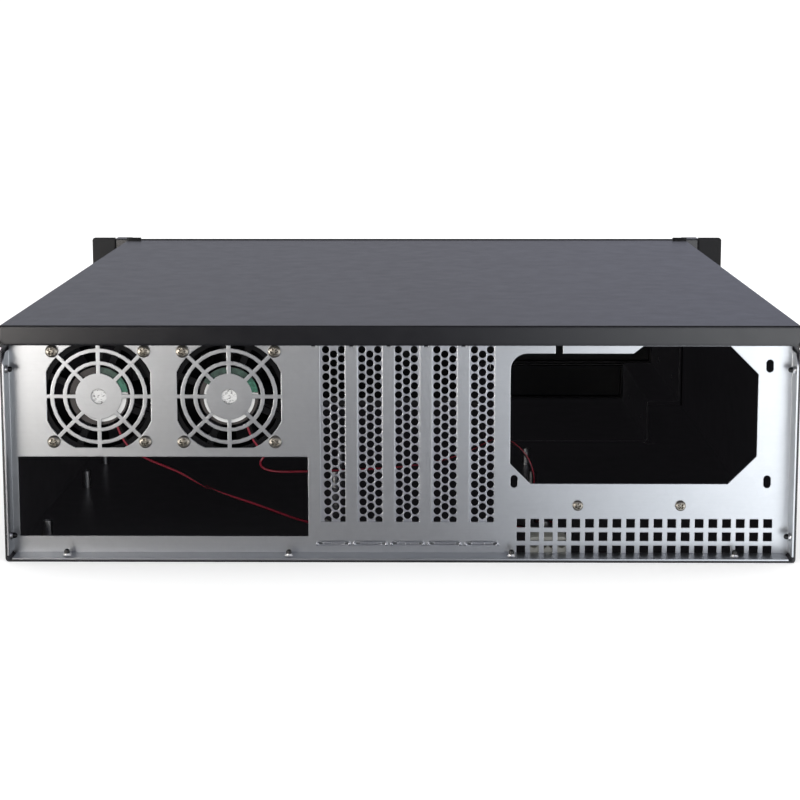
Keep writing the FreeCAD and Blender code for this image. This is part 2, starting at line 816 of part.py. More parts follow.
def make_pan_screw(head_radius, head, radius, length, x, z):
    """A pan-head screw driven forwards into the rear panel: many-sided head and six-sided shank."""
    seat = prism(head_radius, screw_sides, web_rear - head, web_rear, x, z)
    shank = prism(radius, shank_sides, web_rear, web_rear + length, x, z)
    return seat.fuse(shank)


def make_fan_screws():
    screws = []
    for x in fan_places:
        for step_x, step_z in fan_corners():
            z = fan_centre_height + step_z
            screws.append(make_pan_screw(
                fan_screw_head_radius, fan_screw_head, fan_screw_radius, fan_screw_length, x + step_x, z
            ))
    return screws


def make_psu_shelf():
    """Angle bracket that carries the power supply's rear end."""
    middle = sum(shelf_screws) / 2
    top = psu_bottom_hole - psu_edge
    low_x, high_x = middle - shelf_width / 2, middle + shelf_width / 2
    upright = box(low_x, high_x, web_front, web_front + sheet, top - shelf_drop, top)
    shelf = box(low_x, high_x, web_front, web_front + shelf_depth, top - sheet, top)
    bracket = upright.fuse(shelf).removeSplitter()
    hole = shelf_screw_radius + clearance_hole
    tools = [
        prism(hole, shank_sides, web_front, web_front + sheet, x, shelf_screw_height) for x in shelf_screws
    ]
    return bracket.cut(tools)


def make_shelf_screws():
    screws = []
    for x in shelf_screws:
        screws.append(make_pan_screw(
            shelf_screw_head_radius, shelf_screw_head, shelf_screw_radius, shelf_screw_length, x,
            shelf_screw_height,
        ))
    return screws


def standoff_places():
    """The nine main board fixing points as (x, y)."""
    return [(board_left + offset, web_front + distance) for distance in board_rows for offset in board_columns]


def make_standoffs():
    """Hexagonal threaded pillars on the floor."""
    corner_radius = standoff_across_flats / 2 / math.cos(math.pi / 6)
    pillars = []
    for x, y in standoff_places():
        corners = []
        for step in range(7):
            angle = math.pi / 3 * step
            across, along = corner_radius * math.cos(angle), corner_radius * math.sin(angle)
            corners.append(Vector(x + across, y + along, sheet))
        pillar = Part.Face(Part.makePolygon(corners)).extrude(Vector(0, 0, standoff_height))
        bottom = sheet + standoff_height - standoff_bore_depth
        pillars.append(pillar.cut(Part.makeCylinder(standoff_bore, standoff_bore_depth, Vector(x, y, bottom))))
    return pillars


def make_drive_cage():
    """One folded strip: ledges carry the two wide drives, and the channel below them holds a narrow one."""
    front = ear_rear - sheet - cage_front_gap
    rear = rear_edge + cage_rear
    half = sheet / 2
    left, right = cage_left + half, cage_left + wide_bay_width - half
    low_left, low_right = narrow_bay_left + half, narrow_bay_left + narrow_bay_width - half
    top, ledge, bottom = cage_top + half, cage_ledge - half, cage_bottom + half
    profile = [
        (left + cage_top_flange, top), (left, top), (left, ledge), (low_left, ledge), (low_left, bottom),
        (low_right, bottom), (low_right, ledge), (right, ledge), (right, top), (right - cage_top_flange, top),
    ]
    strip = folded_strip(profile, sheet, bend_radius, rear, front)
    foot_rear = rear + cage_foot_setback
    feet = []
    for leg_x, outward in ((narrow_bay_left, -1), (narrow_bay_left + narrow_bay_width - sheet, 1)):
        leg = box(leg_x, leg_x + sheet, foot_rear, front, sheet, cage_bottom + half)
        toe = sorted((leg_x + half, leg_x + half + outward * cage_foot_width))
        feet.append(leg)
        feet.append(box(toe[0], toe[1], foot_rear, front, sheet, 2 * sheet))
    cage = joined([strip] + feet)
    length, height = drive_slot
    tools = []
    for depth in drive_slot_depths:
        y = front - depth
        for bay in range(wide_bays):
            z = cage_ledge + drive_slot_rise + wide_bay_height * bay
            for x in (left, right):
                tools.append(box(x - sheet, x + sheet, y, y + length, z - height / 2, z + height / 2))
        z = cage_bottom + sheet + drive_slot_rise
        for x in (low_left, low_right):
            tools.append(box(x - sheet, x + sheet, y, y + length, z - height / 2, z + height / 2))
    return cage.cut(tools)


def make_ear(side):
    """Rack ear: a flat plate behind the front panel, with two round-ended slots and relief notches."""
    low_x, high_x = sorted((side * ear_inner, side * rack_width / 2))
    plate = box(low_x, high_x, ear_rear, panel_rear, 0, rack_panel_height)
    outer = side * rack_width / 2
    corner = [
        edge for edge in plate.Edges
        if edge.BoundBox.YLength > near and abs(edge.BoundBox.XMin - outer) < near
        and edge.BoundBox.ZLength < near
    ]
    plate = plate.makeFillet(ear_corner, corner)
    notch_x = sorted((side * ear_notch_inner, side * ear_notch_outer))
    notch_low = rack_panel_height - ear_notch_height
    tools = [
        box(notch_x[0], notch_x[1], ear_rear, panel_rear, notch_low, rack_panel_height),
        box(notch_x[0], notch_x[1], ear_rear, panel_rear, 0, ear_notch_height),
    ]
    straight = (rack_slot_length - rack_slot_width) / 2
    x = side * rack_slot_spacing_x / 2
    for step in (-1, 1):
        z = rack_panel_height / 2 + step * rack_slot_spacing_z / 2
        half = rack_slot_width / 2
        tools.append(box(x - straight, x + straight, ear_rear, panel_rear, z - half, z + half))
        for end in (-straight, straight):
            tools.append(rod(half, ear_rear, panel_rear, x + end, z))
    return plate.cut(tools)


def handle_x(side):
    return side * (front_panel_half_width - handle_width / 2)


def make_handle(side):
    """Bow handle from flat bar, with rounded outer corners and eased long edges."""
    x = handle_x(side)
    low_z = (front_panel_top + front_panel_bottom - handle_height) / 2
    high_z = low_z + handle_height
    front = panel_front + handle_reach
    half = handle_width / 2
    block = box(x - half, x + half, panel_front, front, low_z, high_z)
    bend = [edge for edge in block.Edges if edge.BoundBox.XLength > near and edge.BoundBox.YMin > front - near]
    block = block.makeFillet(handle_corner, bend)
    opening = box(x - half, x + half, panel_front, front - handle_bar, low_z + handle_bar, high_z - handle_bar)
    inner_bend = [
        edge for edge in opening.Edges
        if edge.BoundBox.XLength > near and edge.BoundBox.YMin > panel_front + near
    ]
    opening = opening.makeFillet(handle_corner - handle_bar / 2, inner_bend)
    outer_edges = [
        edge for edge in block.Edges
        if edge.BoundBox.XLength < near and edge.BoundBox.YMax > panel_front + near
    ]
    return block.makeChamfer(handle_edge, outer_edges).cut(opening)


def bay_cover_places():
    """Each bay cover as (name, left, bottom, width, height)."""
    middle = cage_left + wide_bay_width / 2
    places = []
    for bay in range(wide_bays):
        bottom = cage_ledge + wide_bay_height * bay + (wide_bay_height - wide_cover_height) / 2
        name = f"bay_cover_wide_{bay + 1}"
        places.append((name, middle - wide_cover_width / 2, bottom, wide_cover_width, wide_cover_height))
    middle = narrow_bay_left + narrow_bay_width / 2
    bottom = cage_bottom + sheet + (cage_ledge - cage_bottom - 2 * sheet - narrow_cover_height) / 2
    places.append((
        "bay_cover_narrow", middle - narrow_cover_width / 2, bottom, narrow_cover_width, narrow_cover_height
    ))
    return places


def make_bay_cover(left, bottom, width, height):
    """Moulded blank: a face flush with the front panel and a shallow rim behind it."""
    front = panel_front
    right, top = left + width, bottom + height
    back = front - bay_cover_depth
    block = box(left, right, back, front, bottom, top)
    rim = [edge for edge in block.Edges if edge.BoundBox.YMin > front - near]
    block = block.makeChamfer(bay_cover_edge, rim)
    wall = bay_cover_wall
    hollow = box(left + wall, right - wall, back, front - bay_cover_face, bottom + wall, top - wall)
    return block.cut(hollow)


def make_front_panel():
    """Front plate with bay cut-outs, upright ventilation slots and holes for the controls."""
    half = front_panel_half_width
    plate = rounded_block(
        -half, half, panel_rear, panel_front, front_panel_bottom, front_panel_top, front_panel_corner,
        Vector(0, 1, 0),
    )
    gap = bay_cover_gap
    tools = []
    for _, left, bottom, width, height in bay_cover_places():
        tools.append(box(
            left - gap, left + width + gap, panel_rear, panel_front, bottom - gap, bottom + height + gap
        ))
    for row in range(front_vent_rows):
        z = front_vent_bottom + front_vent_row_pitch * row
        for column in range(front_vent_columns):
            x = front_vent_left + front_vent_pitch * column
            tools.append(box(x, x + front_vent_width, panel_rear, panel_front, z, z + front_vent_height))
    for radius, z in ((power_button_radius, power_button_height), (reset_button_radius, reset_button_height)):
        tools.append(prism(radius + button_gap, button_sides, panel_rear, panel_front, control_x, z))
    for z in lamp_heights:
        tools.append(prism(lamp_radius + lamp_gap, screw_sides, panel_rear, panel_front, control_x, z))
    plate = plate.cut(tools)
    posts = []
    for z in board_posts:
        posts.append(prism(board_post_radius, screw_sides, board_front(), panel_rear, control_x, z))
    return joined([plate] + posts)


def switch_front():
    """Front face of the switches: the stems reach past it into their wells."""
    flange_back = panel_rear - fit_gap - button_flange
    return flange_back - button_stem + button_travel


def board_front():
    return switch_front() - switch_depth


def make_button(radius, z):
    """Push button: cap, retaining flange behind the panel and a stem into its switch."""
    flange_front = panel_rear - fit_gap
    flange_back = flange_front - button_flange
    cap = prism(radius, button_sides, flange_front, panel_front + button_proud, control_x, z)
    flange = prism(radius + button_flange_step, button_sides, flange_back, flange_front, control_x, z)
    stem = prism(button_stem_radius, screw_sides, flange_back - button_stem, flange_back, control_x, z)
    return joined([cap, flange, stem])


def make_switches():
    """Two momentary switches on the board, each with a well for its button's stem."""
    half = switch_size / 2
    switches = []
    for z in (power_button_height, reset_button_height):
        body = box(control_x - half, control_x + half, board_front(), switch_front(), z - half, z + half)
        floor = board_front() + switch_floor
        well = prism(button_stem_radius + switch_well_gap, screw_sides, floor, switch_front(), control_x, z)
        switches.append(body.cut(well))
    return switches


def make_lamp(z):
    """Indicator lamp: a round lens from the board out through the panel."""
    lens = prism(lamp_radius, screw_sides, board_front(), panel_front + lamp_proud, control_x, z)
    rim = [edge for edge in lens.Edges if edge.BoundBox.YMin > panel_front + lamp_proud - near]
    return lens.makeChamfer(lamp_radius / 3, rim)


def make_front_filter():
    """Dust filter pad that lies against the back of the front panel, behind the ventilation slots."""
    last = front_vent_left + front_vent_pitch * (front_vent_columns - 1) + front_vent_width
    high = front_vent_bottom + front_vent_row_pitch * (front_vent_rows - 1) + front_vent_height
    return box(
        front_vent_left - filter_margin, last + filter_margin, panel_rear - filter_depth, panel_rear,
        front_vent_bottom - filter_margin, high + filter_margin,
    )


def make_control_board():
    half = board_width / 2
    back = board_front() - board_sheet
    return box(control_x - half, control_x + half, back, board_front(), board_low, board_high)


def lead_clip_place(x):
    """Where a fan's lead leaves its frame: under the corner nearest the middle of the case."""
    half = fan_size / 2
    y = web_front + fan_depth - lead_clip[1] / 2
    return Vector(x + half - lead_clip_inset, y, fan_centre_height - half)


def make_lead_clip(x):
    """Small moulded outlet under the fan frame that the lead comes out of."""
    place = lead_clip_place(x)
    width, depth, height = lead_clip
    return box(place.x - width / 2, place.x + width / 2, place.y - depth / 2, place.y + depth / 2,
               place.z - height, place.z)


def fan_lead_routes():
    """Route of each lead from its outlet to the plug, as hand-chosen points between fixed ends."""
    starts = [lead_clip_place(x) - Vector(0, 0, lead_clip[2]) for x in fan_places]
    end_z = sheet + plug_size[2] / 2
    ends = [Vector(plug_place[0] + step, plug_back, end_z) for step in (-lead_entry_offset, lead_entry_offset)]
    return starts, ends


def tube(points, radius):
    """A lead with a six-sided section: straight runs joined by tangent arcs as large as the runs allow."""
    edges = []
    radii = []
    here = points[0]
    for index in range(1, len(points) - 1):
        before = points[index] - points[index - 1]
        after = points[index + 1] - points[index]
        half_turn = before.getAngle(after) / 2
        reach = lead_arc_share * min(before.Length, after.Length)
        arc_radius = reach / math.tan(half_turn)
        first = points[index] - unit(before) * reach
        last = points[index] + unit(after) * reach
        inward = unit(unit(after) - unit(before))
        centre = points[index] + inward * math.hypot(reach, arc_radius)
        crown = centre - inward * arc_radius
        edges.append(Part.LineSegment(here, first).toShape())
        edges.append(Part.Arc(first, crown, last).toShape())
        radii.append(round(arc_radius, 1))
        here = last
    edges.append(Part.LineSegment(here, points[-1]).toShape())
    path = Part.Wire(edges)
    along = unit(points[1] - points[0])
    level = unit(along.cross(Vector(0, 1, 0)))
    raised = along.cross(level)
    corners = []
    for step in range(shank_sides + 1):
        angle = 2 * math.pi * step / shank_sides
        corners.append(points[0] + level * (radius * math.cos(angle)) + raised * (radius * math.sin(angle)))
    solid = path.makePipeShell([Part.makePolygon(corners)], True, False)
    swept = shank_sides / 2 * radius ** 2 * math.sin(2 * math.pi / shank_sides) * path.Length
    print("lead length", round(path.Length, 1), "radii", radii)
    print("volume over section", round(solid.Volume / swept, 4))
    return solid


# Hand-chosen middle points of the two leads: (x, depth from the rear, height)
lead_1_points = [
    (-131.0, 40.0, 44.6), (-123.0, 41.0, 41.0), (-106.0, 44.5, 29.5), (-83.5, 50.0, 20.8), (-53.4, 57.0, 8.0),
    (-22.0, 61.0, 2.6), (28.0, 65.0, 2.3), (60.0, 74.0, 2.6),
]
lead_2_points = [
    (-79.0, 39.5, 46.8), (-76.5, 41.0, 43.0), (-69.0, 42.0, 41.3), (-51.5, 47.0, 40.6), (-17.0, 47.0, 41.8),
    (17.0, 42.0, 46.0), (39.0, 36.0, 54.5), (54.5, 31.0, 65.0), (68.5, 30.0, 56.0), (74.3, 30.6, 43.0),
    (73.5, 34.0, 30.0), (76.5, 47.0, 15.5), (77.0, 64.0, 7.0), (80.0, 75.0, 4.5), (86.0, 77.5, 4.4),
    (88.6, 70.0, 5.0),
]


def lead_route(index, middle_points):
    """The whole route of one lead, from the fan's outlet to the plug."""
    starts, ends = fan_lead_routes()
    start, end = starts[index], ends[index]
    middle = [Vector(x, rear_edge + depth, z) for x, depth, z in middle_points]
    return [start, start - Vector(0, 0, lead_drop)] + middle + [end + Vector(0, lead_run, 0), end]


def make_plug():
    """White four-way power plug lying on the floor, which both fan leads enter."""
    width, length, height = plug_size
    x = plug_place[0]
    body = rounded_block(
        x - width / 2, x + width / 2, plug_back - length, plug_back, sheet, sheet + height, plug_corner,
        Vector(0, 1, 0),
    )
    return body


os.makedirs("parts", exist_ok=True)
save("chassis_body", make_chassis())
save("top_cover", make_top_cover())
save_group("cover_screws", make_cover_screws())
save("rear_panel", make_rear_panel())
for number, place in enumerate(slot_places, 1):
    save(f"slot_cover_{number}", make_slot_cover(place))
for number, place in enumerate(fan_places, 1):
    save(f"fan_{number}_frame", make_fan_frame(place))
    save(f"fan_{number}_rotor", make_fan_rotor(place))
    save(f"fan_{number}_lead_outlet", make_lead_clip(place))
save_group("fan_screws", make_fan_screws())
save("psu_shelf", make_psu_shelf())
save_group("psu_shelf_screws", make_shelf_screws())
save_group("board_standoffs", make_standoffs())
save("drive_cage", make_drive_cage())
save("front_panel", make_front_panel())
for name, side in (("left", -1), ("right", 1)):
    save(f"rack_ear_{name}", make_ear(side))
    save(f"handle_{name}", make_handle(side))
for name, left, bottom, width, height in bay_cover_places():
    save(name, make_bay_cover(left, bottom, width, height))
save("power_button", make_button(power_button_radius, power_button_height))
save("reset_button", make_button(reset_button_radius, reset_button_height))
save_group("button_switches", make_switches())
save("power_lamp", make_lamp(lamp_heights[0]))
save("drive_lamp", make_lamp(lamp_heights[1]))
save("control_board", make_control_board())
save("front_filter", make_front_filter())
save("fan_1_lead", tube(lead_route(0, lead_1_points), lead_radius))
save("fan_2_lead", tube(lead_route(1, lead_2_points), lead_radius))
save("fan_power_plug", make_plug())
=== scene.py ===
"""Looks of an empty 3U rackmount server case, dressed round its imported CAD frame.

Metres, in the frame of the CAD model: +X is to the right as seen from behind the case, +Y runs
from the rear panel to the front panel, and +Z is up. Lengths written times mm are millimetres.
"""
import math

import bmesh
import bpy
from mathutils import Matrix, Vector


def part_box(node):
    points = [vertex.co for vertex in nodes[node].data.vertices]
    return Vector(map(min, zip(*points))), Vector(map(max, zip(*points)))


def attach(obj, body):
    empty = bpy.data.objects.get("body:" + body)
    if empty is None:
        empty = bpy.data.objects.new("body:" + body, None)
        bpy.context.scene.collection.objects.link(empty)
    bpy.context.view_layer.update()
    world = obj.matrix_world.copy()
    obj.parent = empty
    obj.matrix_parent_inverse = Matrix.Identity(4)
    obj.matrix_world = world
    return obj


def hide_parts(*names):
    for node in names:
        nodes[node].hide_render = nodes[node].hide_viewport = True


mm = 0.001

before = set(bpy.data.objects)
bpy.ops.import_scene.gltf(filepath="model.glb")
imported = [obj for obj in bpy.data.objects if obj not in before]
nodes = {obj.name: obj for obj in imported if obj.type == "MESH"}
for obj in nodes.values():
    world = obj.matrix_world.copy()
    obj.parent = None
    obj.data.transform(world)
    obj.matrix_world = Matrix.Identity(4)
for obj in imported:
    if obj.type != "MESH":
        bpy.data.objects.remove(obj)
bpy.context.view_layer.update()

# ---------------------------------------------------------------- places read from the CAD frame

rear_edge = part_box("chassis_body")[0].y
panel_low, panel_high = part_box("rear_panel")
web_rear = rear_edge + 13.8 * mm
sheet = 1.0 * mm
fan_boxes = [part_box("fan_1_frame"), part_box("fan_2_frame")]
fan_centres = [(low + high) / 2 for low, high in fan_boxes]
fan_screw_step = 25.0 * mm


# ---------------------------------------------------------------- materials

# Where a colour mix node has its sockets
mix_factor, mix_first, mix_second, mix_result = 0, 6, 7, 2


class Finish:
    """A small helper that builds one procedural material."""

    def __init__(self, name):
        self.material = bpy.data.materials.new(name)
        self.material.use_nodes = True
        self.tree = self.material.node_tree
        self.shader = self.tree.nodes["Principled BSDF"]
        self.place = self.tree.nodes.new("ShaderNodeTexCoord").outputs["Object"]

    def node(self, kind, settings=None, **inputs):
        made = self.tree.nodes.new(kind)
        for key, value in (settings or {}).items():
            setattr(made, key, value)
        for key, value in inputs.items():
            self.put(made.inputs[key.replace("_", " ")], value)
        return made

    def put(self, socket, value):
        if isinstance(value, bpy.types.NodeSocket):
            self.tree.links.new(value, socket)
        else:
            socket.default_value = value

    def stretched(self, scale):
        return self.node("ShaderNodeMapping", Vector=self.place, Scale=scale).outputs["Vector"]

    def noise(self, scale, detail=2.0, rough=0.5, place=None):
        made = self.node("ShaderNodeTexNoise", Vector=place or self.place, Scale=scale, Detail=detail, Roughness=rough)
        return made.outputs["Fac"]

    def cells(self, scale):
        made = self.node("ShaderNodeTexVoronoi", Vector=self.place, Scale=scale)
        return made.outputs["Color"], made.outputs["Distance"]

    def between(self, factor, low, high):
        """Maps 0..1 to a range."""
        made = self.node("ShaderNodeMapRange", Value=factor)
        made.inputs["To Min"].default_value = low
        made.inputs["To Max"].default_value = high
        return made.outputs["Result"]

    def blend(self, factor, first, second):
        made = self.node("ShaderNodeMix", {"data_type": "RGBA"})
        self.put(made.inputs[mix_factor], factor)
        self.put(made.inputs[mix_first], first)
        self.put(made.inputs[mix_second], second)
        return made.outputs[mix_result]

    def add(self, first, second, kind="ADD"):
        made = self.node("ShaderNodeMath", {"operation": kind})
        self.put(made.inputs[0], first)
        self.put(made.inputs[1], second)
        return made.outputs[0]

    def bump(self, height, strength, distance, edge=None):
        """Surface grain, and edges that look rounded to a radius."""
        made = self.node("ShaderNodeBump", Height=height, Strength=strength, Distance=distance)
        if edge:
            eased = self.node("ShaderNodeBevel", {"samples": 6}, Radius=edge)
            self.put(made.inputs["Normal"], eased.outputs["Normal"])
        self.put(self.shader.inputs["Normal"], made.outputs["Normal"])

    def set(self, **inputs):
        for key, value in inputs.items():
            self.put(self.shader.inputs[key.replace("_", " ")], value)


def shade(level):
    return (level, level, level, 1.0)


def powder_coat(name, colour, rough, painted_glow_strength=0.0):
    """Fine-textured black powder coat: orange peel, a slight mottle and uneven gloss, and an optional faint painted
    glow that stands in for glare.
    """
    made = Finish(name)
    light = tuple(min(1.0, part * 1.35) for part in colour[:3]) + (1.0,)
    mottle = made.noise(90.0, 4.0, 0.6)
    peel = made.noise(1100.0, 3.0, 0.55)
    grain = made.noise(3600.0, 1.0)
    gloss = made.between(mottle, rough - 0.05, rough + 0.07)
    made.set(Base_Color=made.blend(mottle, colour, light), Roughness=gloss)
    # A faint even glow: painted light that lifts the dark coat as glare would; the coat is no lamp.
    made.set(Emission_Color=(0.9, 0.85, 1.0, 1.0), Emission_Strength=painted_glow_strength)
    made.bump(made.add(peel, grain), 0.1, 0.05 * mm, 1.8 * mm)
    return made.material


def galvanised(name, dark, light, rough):
    """Zinc-coated sheet: soft spangle, faint rolling streaks and a fine grain."""
    made = Finish(name)
    spangle, _ = made.cells(105.0)
    patch = made.node("ShaderNodeSeparateColor", Color=spangle).outputs[0]
    small, _ = made.cells(420.0)
    small_patch = made.node("ShaderNodeSeparateColor", Color=small).outputs[1]
    streak = made.noise(60.0, 5.0, 0.6, made.stretched((1.0, 1.0, 14.0)))
    cloud = made.noise(14.0, 3.0, 0.5)
    tone = made.add(made.add(patch, small_patch), made.add(made.add(streak, cloud), 3.0, "MULTIPLY"))
    tone = made.add(tone, 0.125, "MULTIPLY")
    worn = made.noise(700.0, 3.0, 0.6)
    made.set(Metallic=1.0, Base_Color=made.blend(tone, dark, light))
    made.set(Roughness=made.between(made.add(made.add(small_patch, worn), 0.5, "MULTIPLY"), rough - 0.03, rough + 0.03))
    made.bump(made.add(worn, streak), 0.12, 0.05 * mm, 0.45 * mm)
    return made.material


def plated(name, dark, light, rough):
    """Plated screw steel with fine turning marks."""
    made = Finish(name)
    marks = made.noise(2600.0, 3.0, 0.6)
    stain = made.noise(500.0, 2.0)
    made.set(Metallic=1.0, Base_Color=made.blend(stain, dark, light))
    made.set(Roughness=made.between(marks, rough - 0.08, rough + 0.12))
    made.bump(marks, 0.08, 0.03 * mm)
    return made.material


def smudged_foil(name):
    """Silver label with soft grey smudges."""
    made = Finish(name)
    smudge = made.noise(1.0, 1.0, 0.5, made.stretched((700.0, 700.0, 1500.0)))
    mask = made.node("ShaderNodeMapRange", Value=smudge, From_Min=0.30, From_Max=0.46).outputs["Result"]
    made.set(Base_Color=made.blend(mask, shade(0.20), (0.74, 0.74, 0.73, 1.0)), Metallic=0.2, Roughness=0.5)
    made.bump(smudge, 0.1, 0.03 * mm)
    return made.material


def moulded(name, colour, rough, grain=1800.0, depth=0.3, shine=0.5):
    """Moulded plastic with a fine spark-eroded grain and slight tone changes."""
    made = Finish(name)
    light = tuple(min(1.0, part * 1.3) for part in colour[:3]) + (1.0,)
    tone = made.noise(160.0, 3.0, 0.6)
    texture = made.noise(grain, 2.0, 0.5)
    made.set(Base_Color=made.blend(tone, colour, light), Roughness=made.between(texture, rough - 0.06, rough + 0.08))
    made.set(Specular_IOR_Level=shine)
    made.bump(texture, depth, 0.05 * mm)
    return made.material


def circuit_board(name, dark, light):
    """Solder mask with darker and lighter track areas."""
    made = Finish(name)
    tracks, _ = made.cells(600.0)
    area = made.node("ShaderNodeSeparateColor", Color=tracks).outputs[0]
    made.set(Base_Color=made.blend(area, dark, light), Roughness=0.3)
    made.bump(area, 0.2, 0.03 * mm)
    return made.material


def open_foam(name):
    """Open-cell foam: the pores are painted darker than the lighter cell walls, painted shade in the holes."""
    made = Finish(name)
    _, pores = made.cells(650.0)
    # Dark near the cell middles: painted shade in the pores.
    made.set(Base_Color=made.blend(pores, (0.002, 0.002, 0.002, 1.0), (0.03, 0.03, 0.032, 1.0)), Roughness=0.9)
    made.bump(pores, 0.9, 0.6 * mm)
    return made.material


def lens(name, colour):
    """Tinted clear plastic with a faint frosting."""
    made = Finish(name)
    frost = made.noise(2400.0, 2.0)
    made.set(Base_Color=made.blend(frost, colour, shade(0.5)), Roughness=made.between(frost, 0.12, 0.3))
    made.set(Transmission_Weight=0.5)
    return made.material


coat = powder_coat("black_powder_coat", (0.006, 0.006, 0.008, 1.0), 0.22)
ear_coat = powder_coat("black_ear_coat", (0.004, 0.004, 0.005, 1.0), 0.55)
# The body coat glows faintly: painted light that lifts the dark inside of the case.
body_coat = powder_coat("black_body_coat", (0.018, 0.018, 0.020, 1.0), 0.36, 0.004)
handle_coat = powder_coat("handle_satin_black", (0.02, 0.02, 0.022, 1.0), 0.30)
zinc_sheet = galvanised("galvanised_sheet", (0.49, 0.505, 0.52, 1.0), (0.60, 0.615, 0.63, 1.0), 0.35)
zinc_cover = galvanised("galvanised_cover", (0.50, 0.515, 0.545, 1.0), (0.61, 0.625, 0.66, 1.0), 0.34)
zinc_screw = plated("plated_screw", (0.28, 0.26, 0.22, 1.0), (0.42, 0.39, 0.34, 1.0), 0.36)
zinc_pillar = plated("plated_pillar", (0.55, 0.55, 0.55, 1.0), (0.78, 0.78, 0.78, 1.0), 0.28)
black_screw = plated("black_screw", (0.03, 0.03, 0.03, 1.0), (0.07, 0.07, 0.07, 1.0), 0.35)
brass = plated("brass_contact", (0.50, 0.36, 0.12, 1.0), (0.75, 0.56, 0.22, 1.0), 0.28)
fan_plastic = moulded("fan_plastic", (0.004, 0.004, 0.005, 1.0), 0.40, 900.0, 0.2, 0.10)
motor_plastic = moulded("motor_plastic", (0.040, 0.032, 0.030, 1.0), 0.5, 900.0)
bay_plastic = moulded("bay_plastic", (0.020, 0.020, 0.022, 1.0), 0.5, 1400.0, 0.5)
button_plastic = moulded("button_plastic", (0.03, 0.03, 0.033, 1.0), 0.25, 2600.0, 0.1)
nylon = moulded("white_nylon", (0.40, 0.40, 0.37, 1.0), 0.4, 900.0, 0.2)
label_foil = moulded("white_label", (0.62, 0.62, 0.61, 1.0), 0.35, 900.0, 0.1)
label_print = smudged_foil("smudged_label")
red_wire = moulded("red_wire", (0.21, 0.007, 0.022, 1.0), 0.34, 1500.0, 0.15)
black_wire = moulded("black_wire", (0.006, 0.006, 0.006, 1.0), 0.40, 1500.0, 0.15, 0.12)
# Lit and shaded copies of one green solder mask, for painted light and painted shade on the fans' boards.
board_painted_lit = circuit_board("circuit_board_painted_lit", (0.02, 0.10, 0.065, 1.0), (0.05, 0.20, 0.13, 1.0))
board_painted_shade = circuit_board("circuit_board_painted_shade", (0.025, 0.05, 0.04, 1.0), (0.05, 0.10, 0.075, 1.0))
board_black = circuit_board("black_circuit_board", (0.006, 0.007, 0.007, 1.0), (0.014, 0.018, 0.016, 1.0))
foam = open_foam("filter_foam")
green_lens = lens("green_lens", (0.05, 0.55, 0.12, 1.0))
amber_lens = lens("amber_lens", (0.75, 0.38, 0.04, 1.0))


def paint(thing, *materials):
    # Clearing an empty list would reset the faces' own choice of material
    if thing.data.materials:
        thing.data.materials.clear()
    for material in materials:
        thing.data.materials.append(material)


node_finishes = {
    "chassis_body": body_coat, "top_cover": coat, "drive_cage": body_coat, "front_panel": coat,
    "rack_ear_left": ear_coat, "rack_ear_right": ear_coat, "handle_left": handle_coat, "handle_right": handle_coat,
    "rear_panel": zinc_sheet, "psu_shelf": zinc_sheet, "fan_1_frame": fan_plastic, "fan_2_frame": fan_plastic,
    "fan_1_lead_outlet": fan_plastic, "fan_2_lead_outlet": fan_plastic,
    "bay_cover_wide_1": bay_plastic, "bay_cover_wide_2": bay_plastic, "bay_cover_narrow": bay_plastic,
    "power_button": button_plastic, "reset_button": button_plastic, "button_switches": fan_plastic,
    "power_lamp": green_lens, "drive_lamp": amber_lens, "control_board": board_black, "front_filter": foam,
}
for node_name, finish in node_finishes.items():
    paint(nodes[node_name], finish)


# ---------------------------------------------------------------- mesh helpers

def add_piece(name, mesh, materials, body="case"):
    """Puts a finished mesh into the scene, on a body of the frame."""
    mesh.name = name
    thing = bpy.data.objects.new(name, mesh)
    bpy.context.scene.collection.objects.link(thing)
    paint(thing, *materials)
    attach(thing, body)
    return thing


def mesh_from(build):
    """Runs a function that fills a bmesh, and returns the mesh with outward normals."""
    shape = bmesh.new()
    build(shape)
    bmesh.ops.remove_doubles(shape, verts=shape.verts, dist=1e-7)
    bmesh.ops.recalc_face_normals(shape, faces=shape.faces)
    mesh = bpy.data.meshes.new("mesh")
    shape.to_mesh(mesh)
    shape.free()
    return mesh


def use_second_material(mesh):
    for face in mesh.polygons:
        face.material_index = 1


def merged(parts):
    """One mesh from (mesh, matrix) pairs."""
    def build(shape):
        for mesh, matrix in parts:
            part = mesh.copy()
            part.transform(matrix)
            shape.from_mesh(part)
            bpy.data.meshes.remove(part)
    return mesh_from(build)


def circle(x, y, radius, sides):
    steps = [2 * math.pi * step / sides for step in range(sides)]
    return [(x + radius * math.cos(angle), y + radius * math.sin(angle)) for angle in steps]


def plate_mesh(outline, holes, thickness):
    """A flat plate in the XY plane from z = 0 up, with its holes cut through."""
    curve = bpy.data.curves.new("plate", "CURVE")
    curve.dimensions = "2D"
    curve.fill_mode = "BOTH"
    curve.extrude = thickness / 2
    for loop in [outline] + holes:
        spline = curve.splines.new("POLY")
        spline.points.add(len(loop) - 1)
        for point, (x, y) in zip(spline.points, loop):
            point.co = (x, y, 0.0, 1.0)
        spline.use_cyclic_u = True
    holder = bpy.data.objects.new("plate", curve)
    mesh = bpy.data.meshes.new_from_object(holder)
    bpy.data.objects.remove(holder)
    bpy.data.curves.remove(curve)
    mesh.transform(Matrix.Translation((0.0, 0.0, thickness / 2)))
    return merged([(mesh, Matrix())])


def bridge(shape, low, high):
    """Faces between two rings of corners, either of which may be a single point."""
    count = max(len(low), len(high))
    for step in range(count):
        after = (step + 1) % count
        corners = (low[step % len(low)], low[after % len(low)], high[after % len(high)], high[step % len(high)])
        shape.faces.new(list(dict.fromkeys(corners)))


def capped_tube(shape, rings):
    """Closes a run of equal rings into a solid."""
    shape.faces.new(rings[0])
    shape.faces.new(rings[-1][::-1])
    for low, high in zip(rings, rings[1:]):
        bridge(shape, low, high)


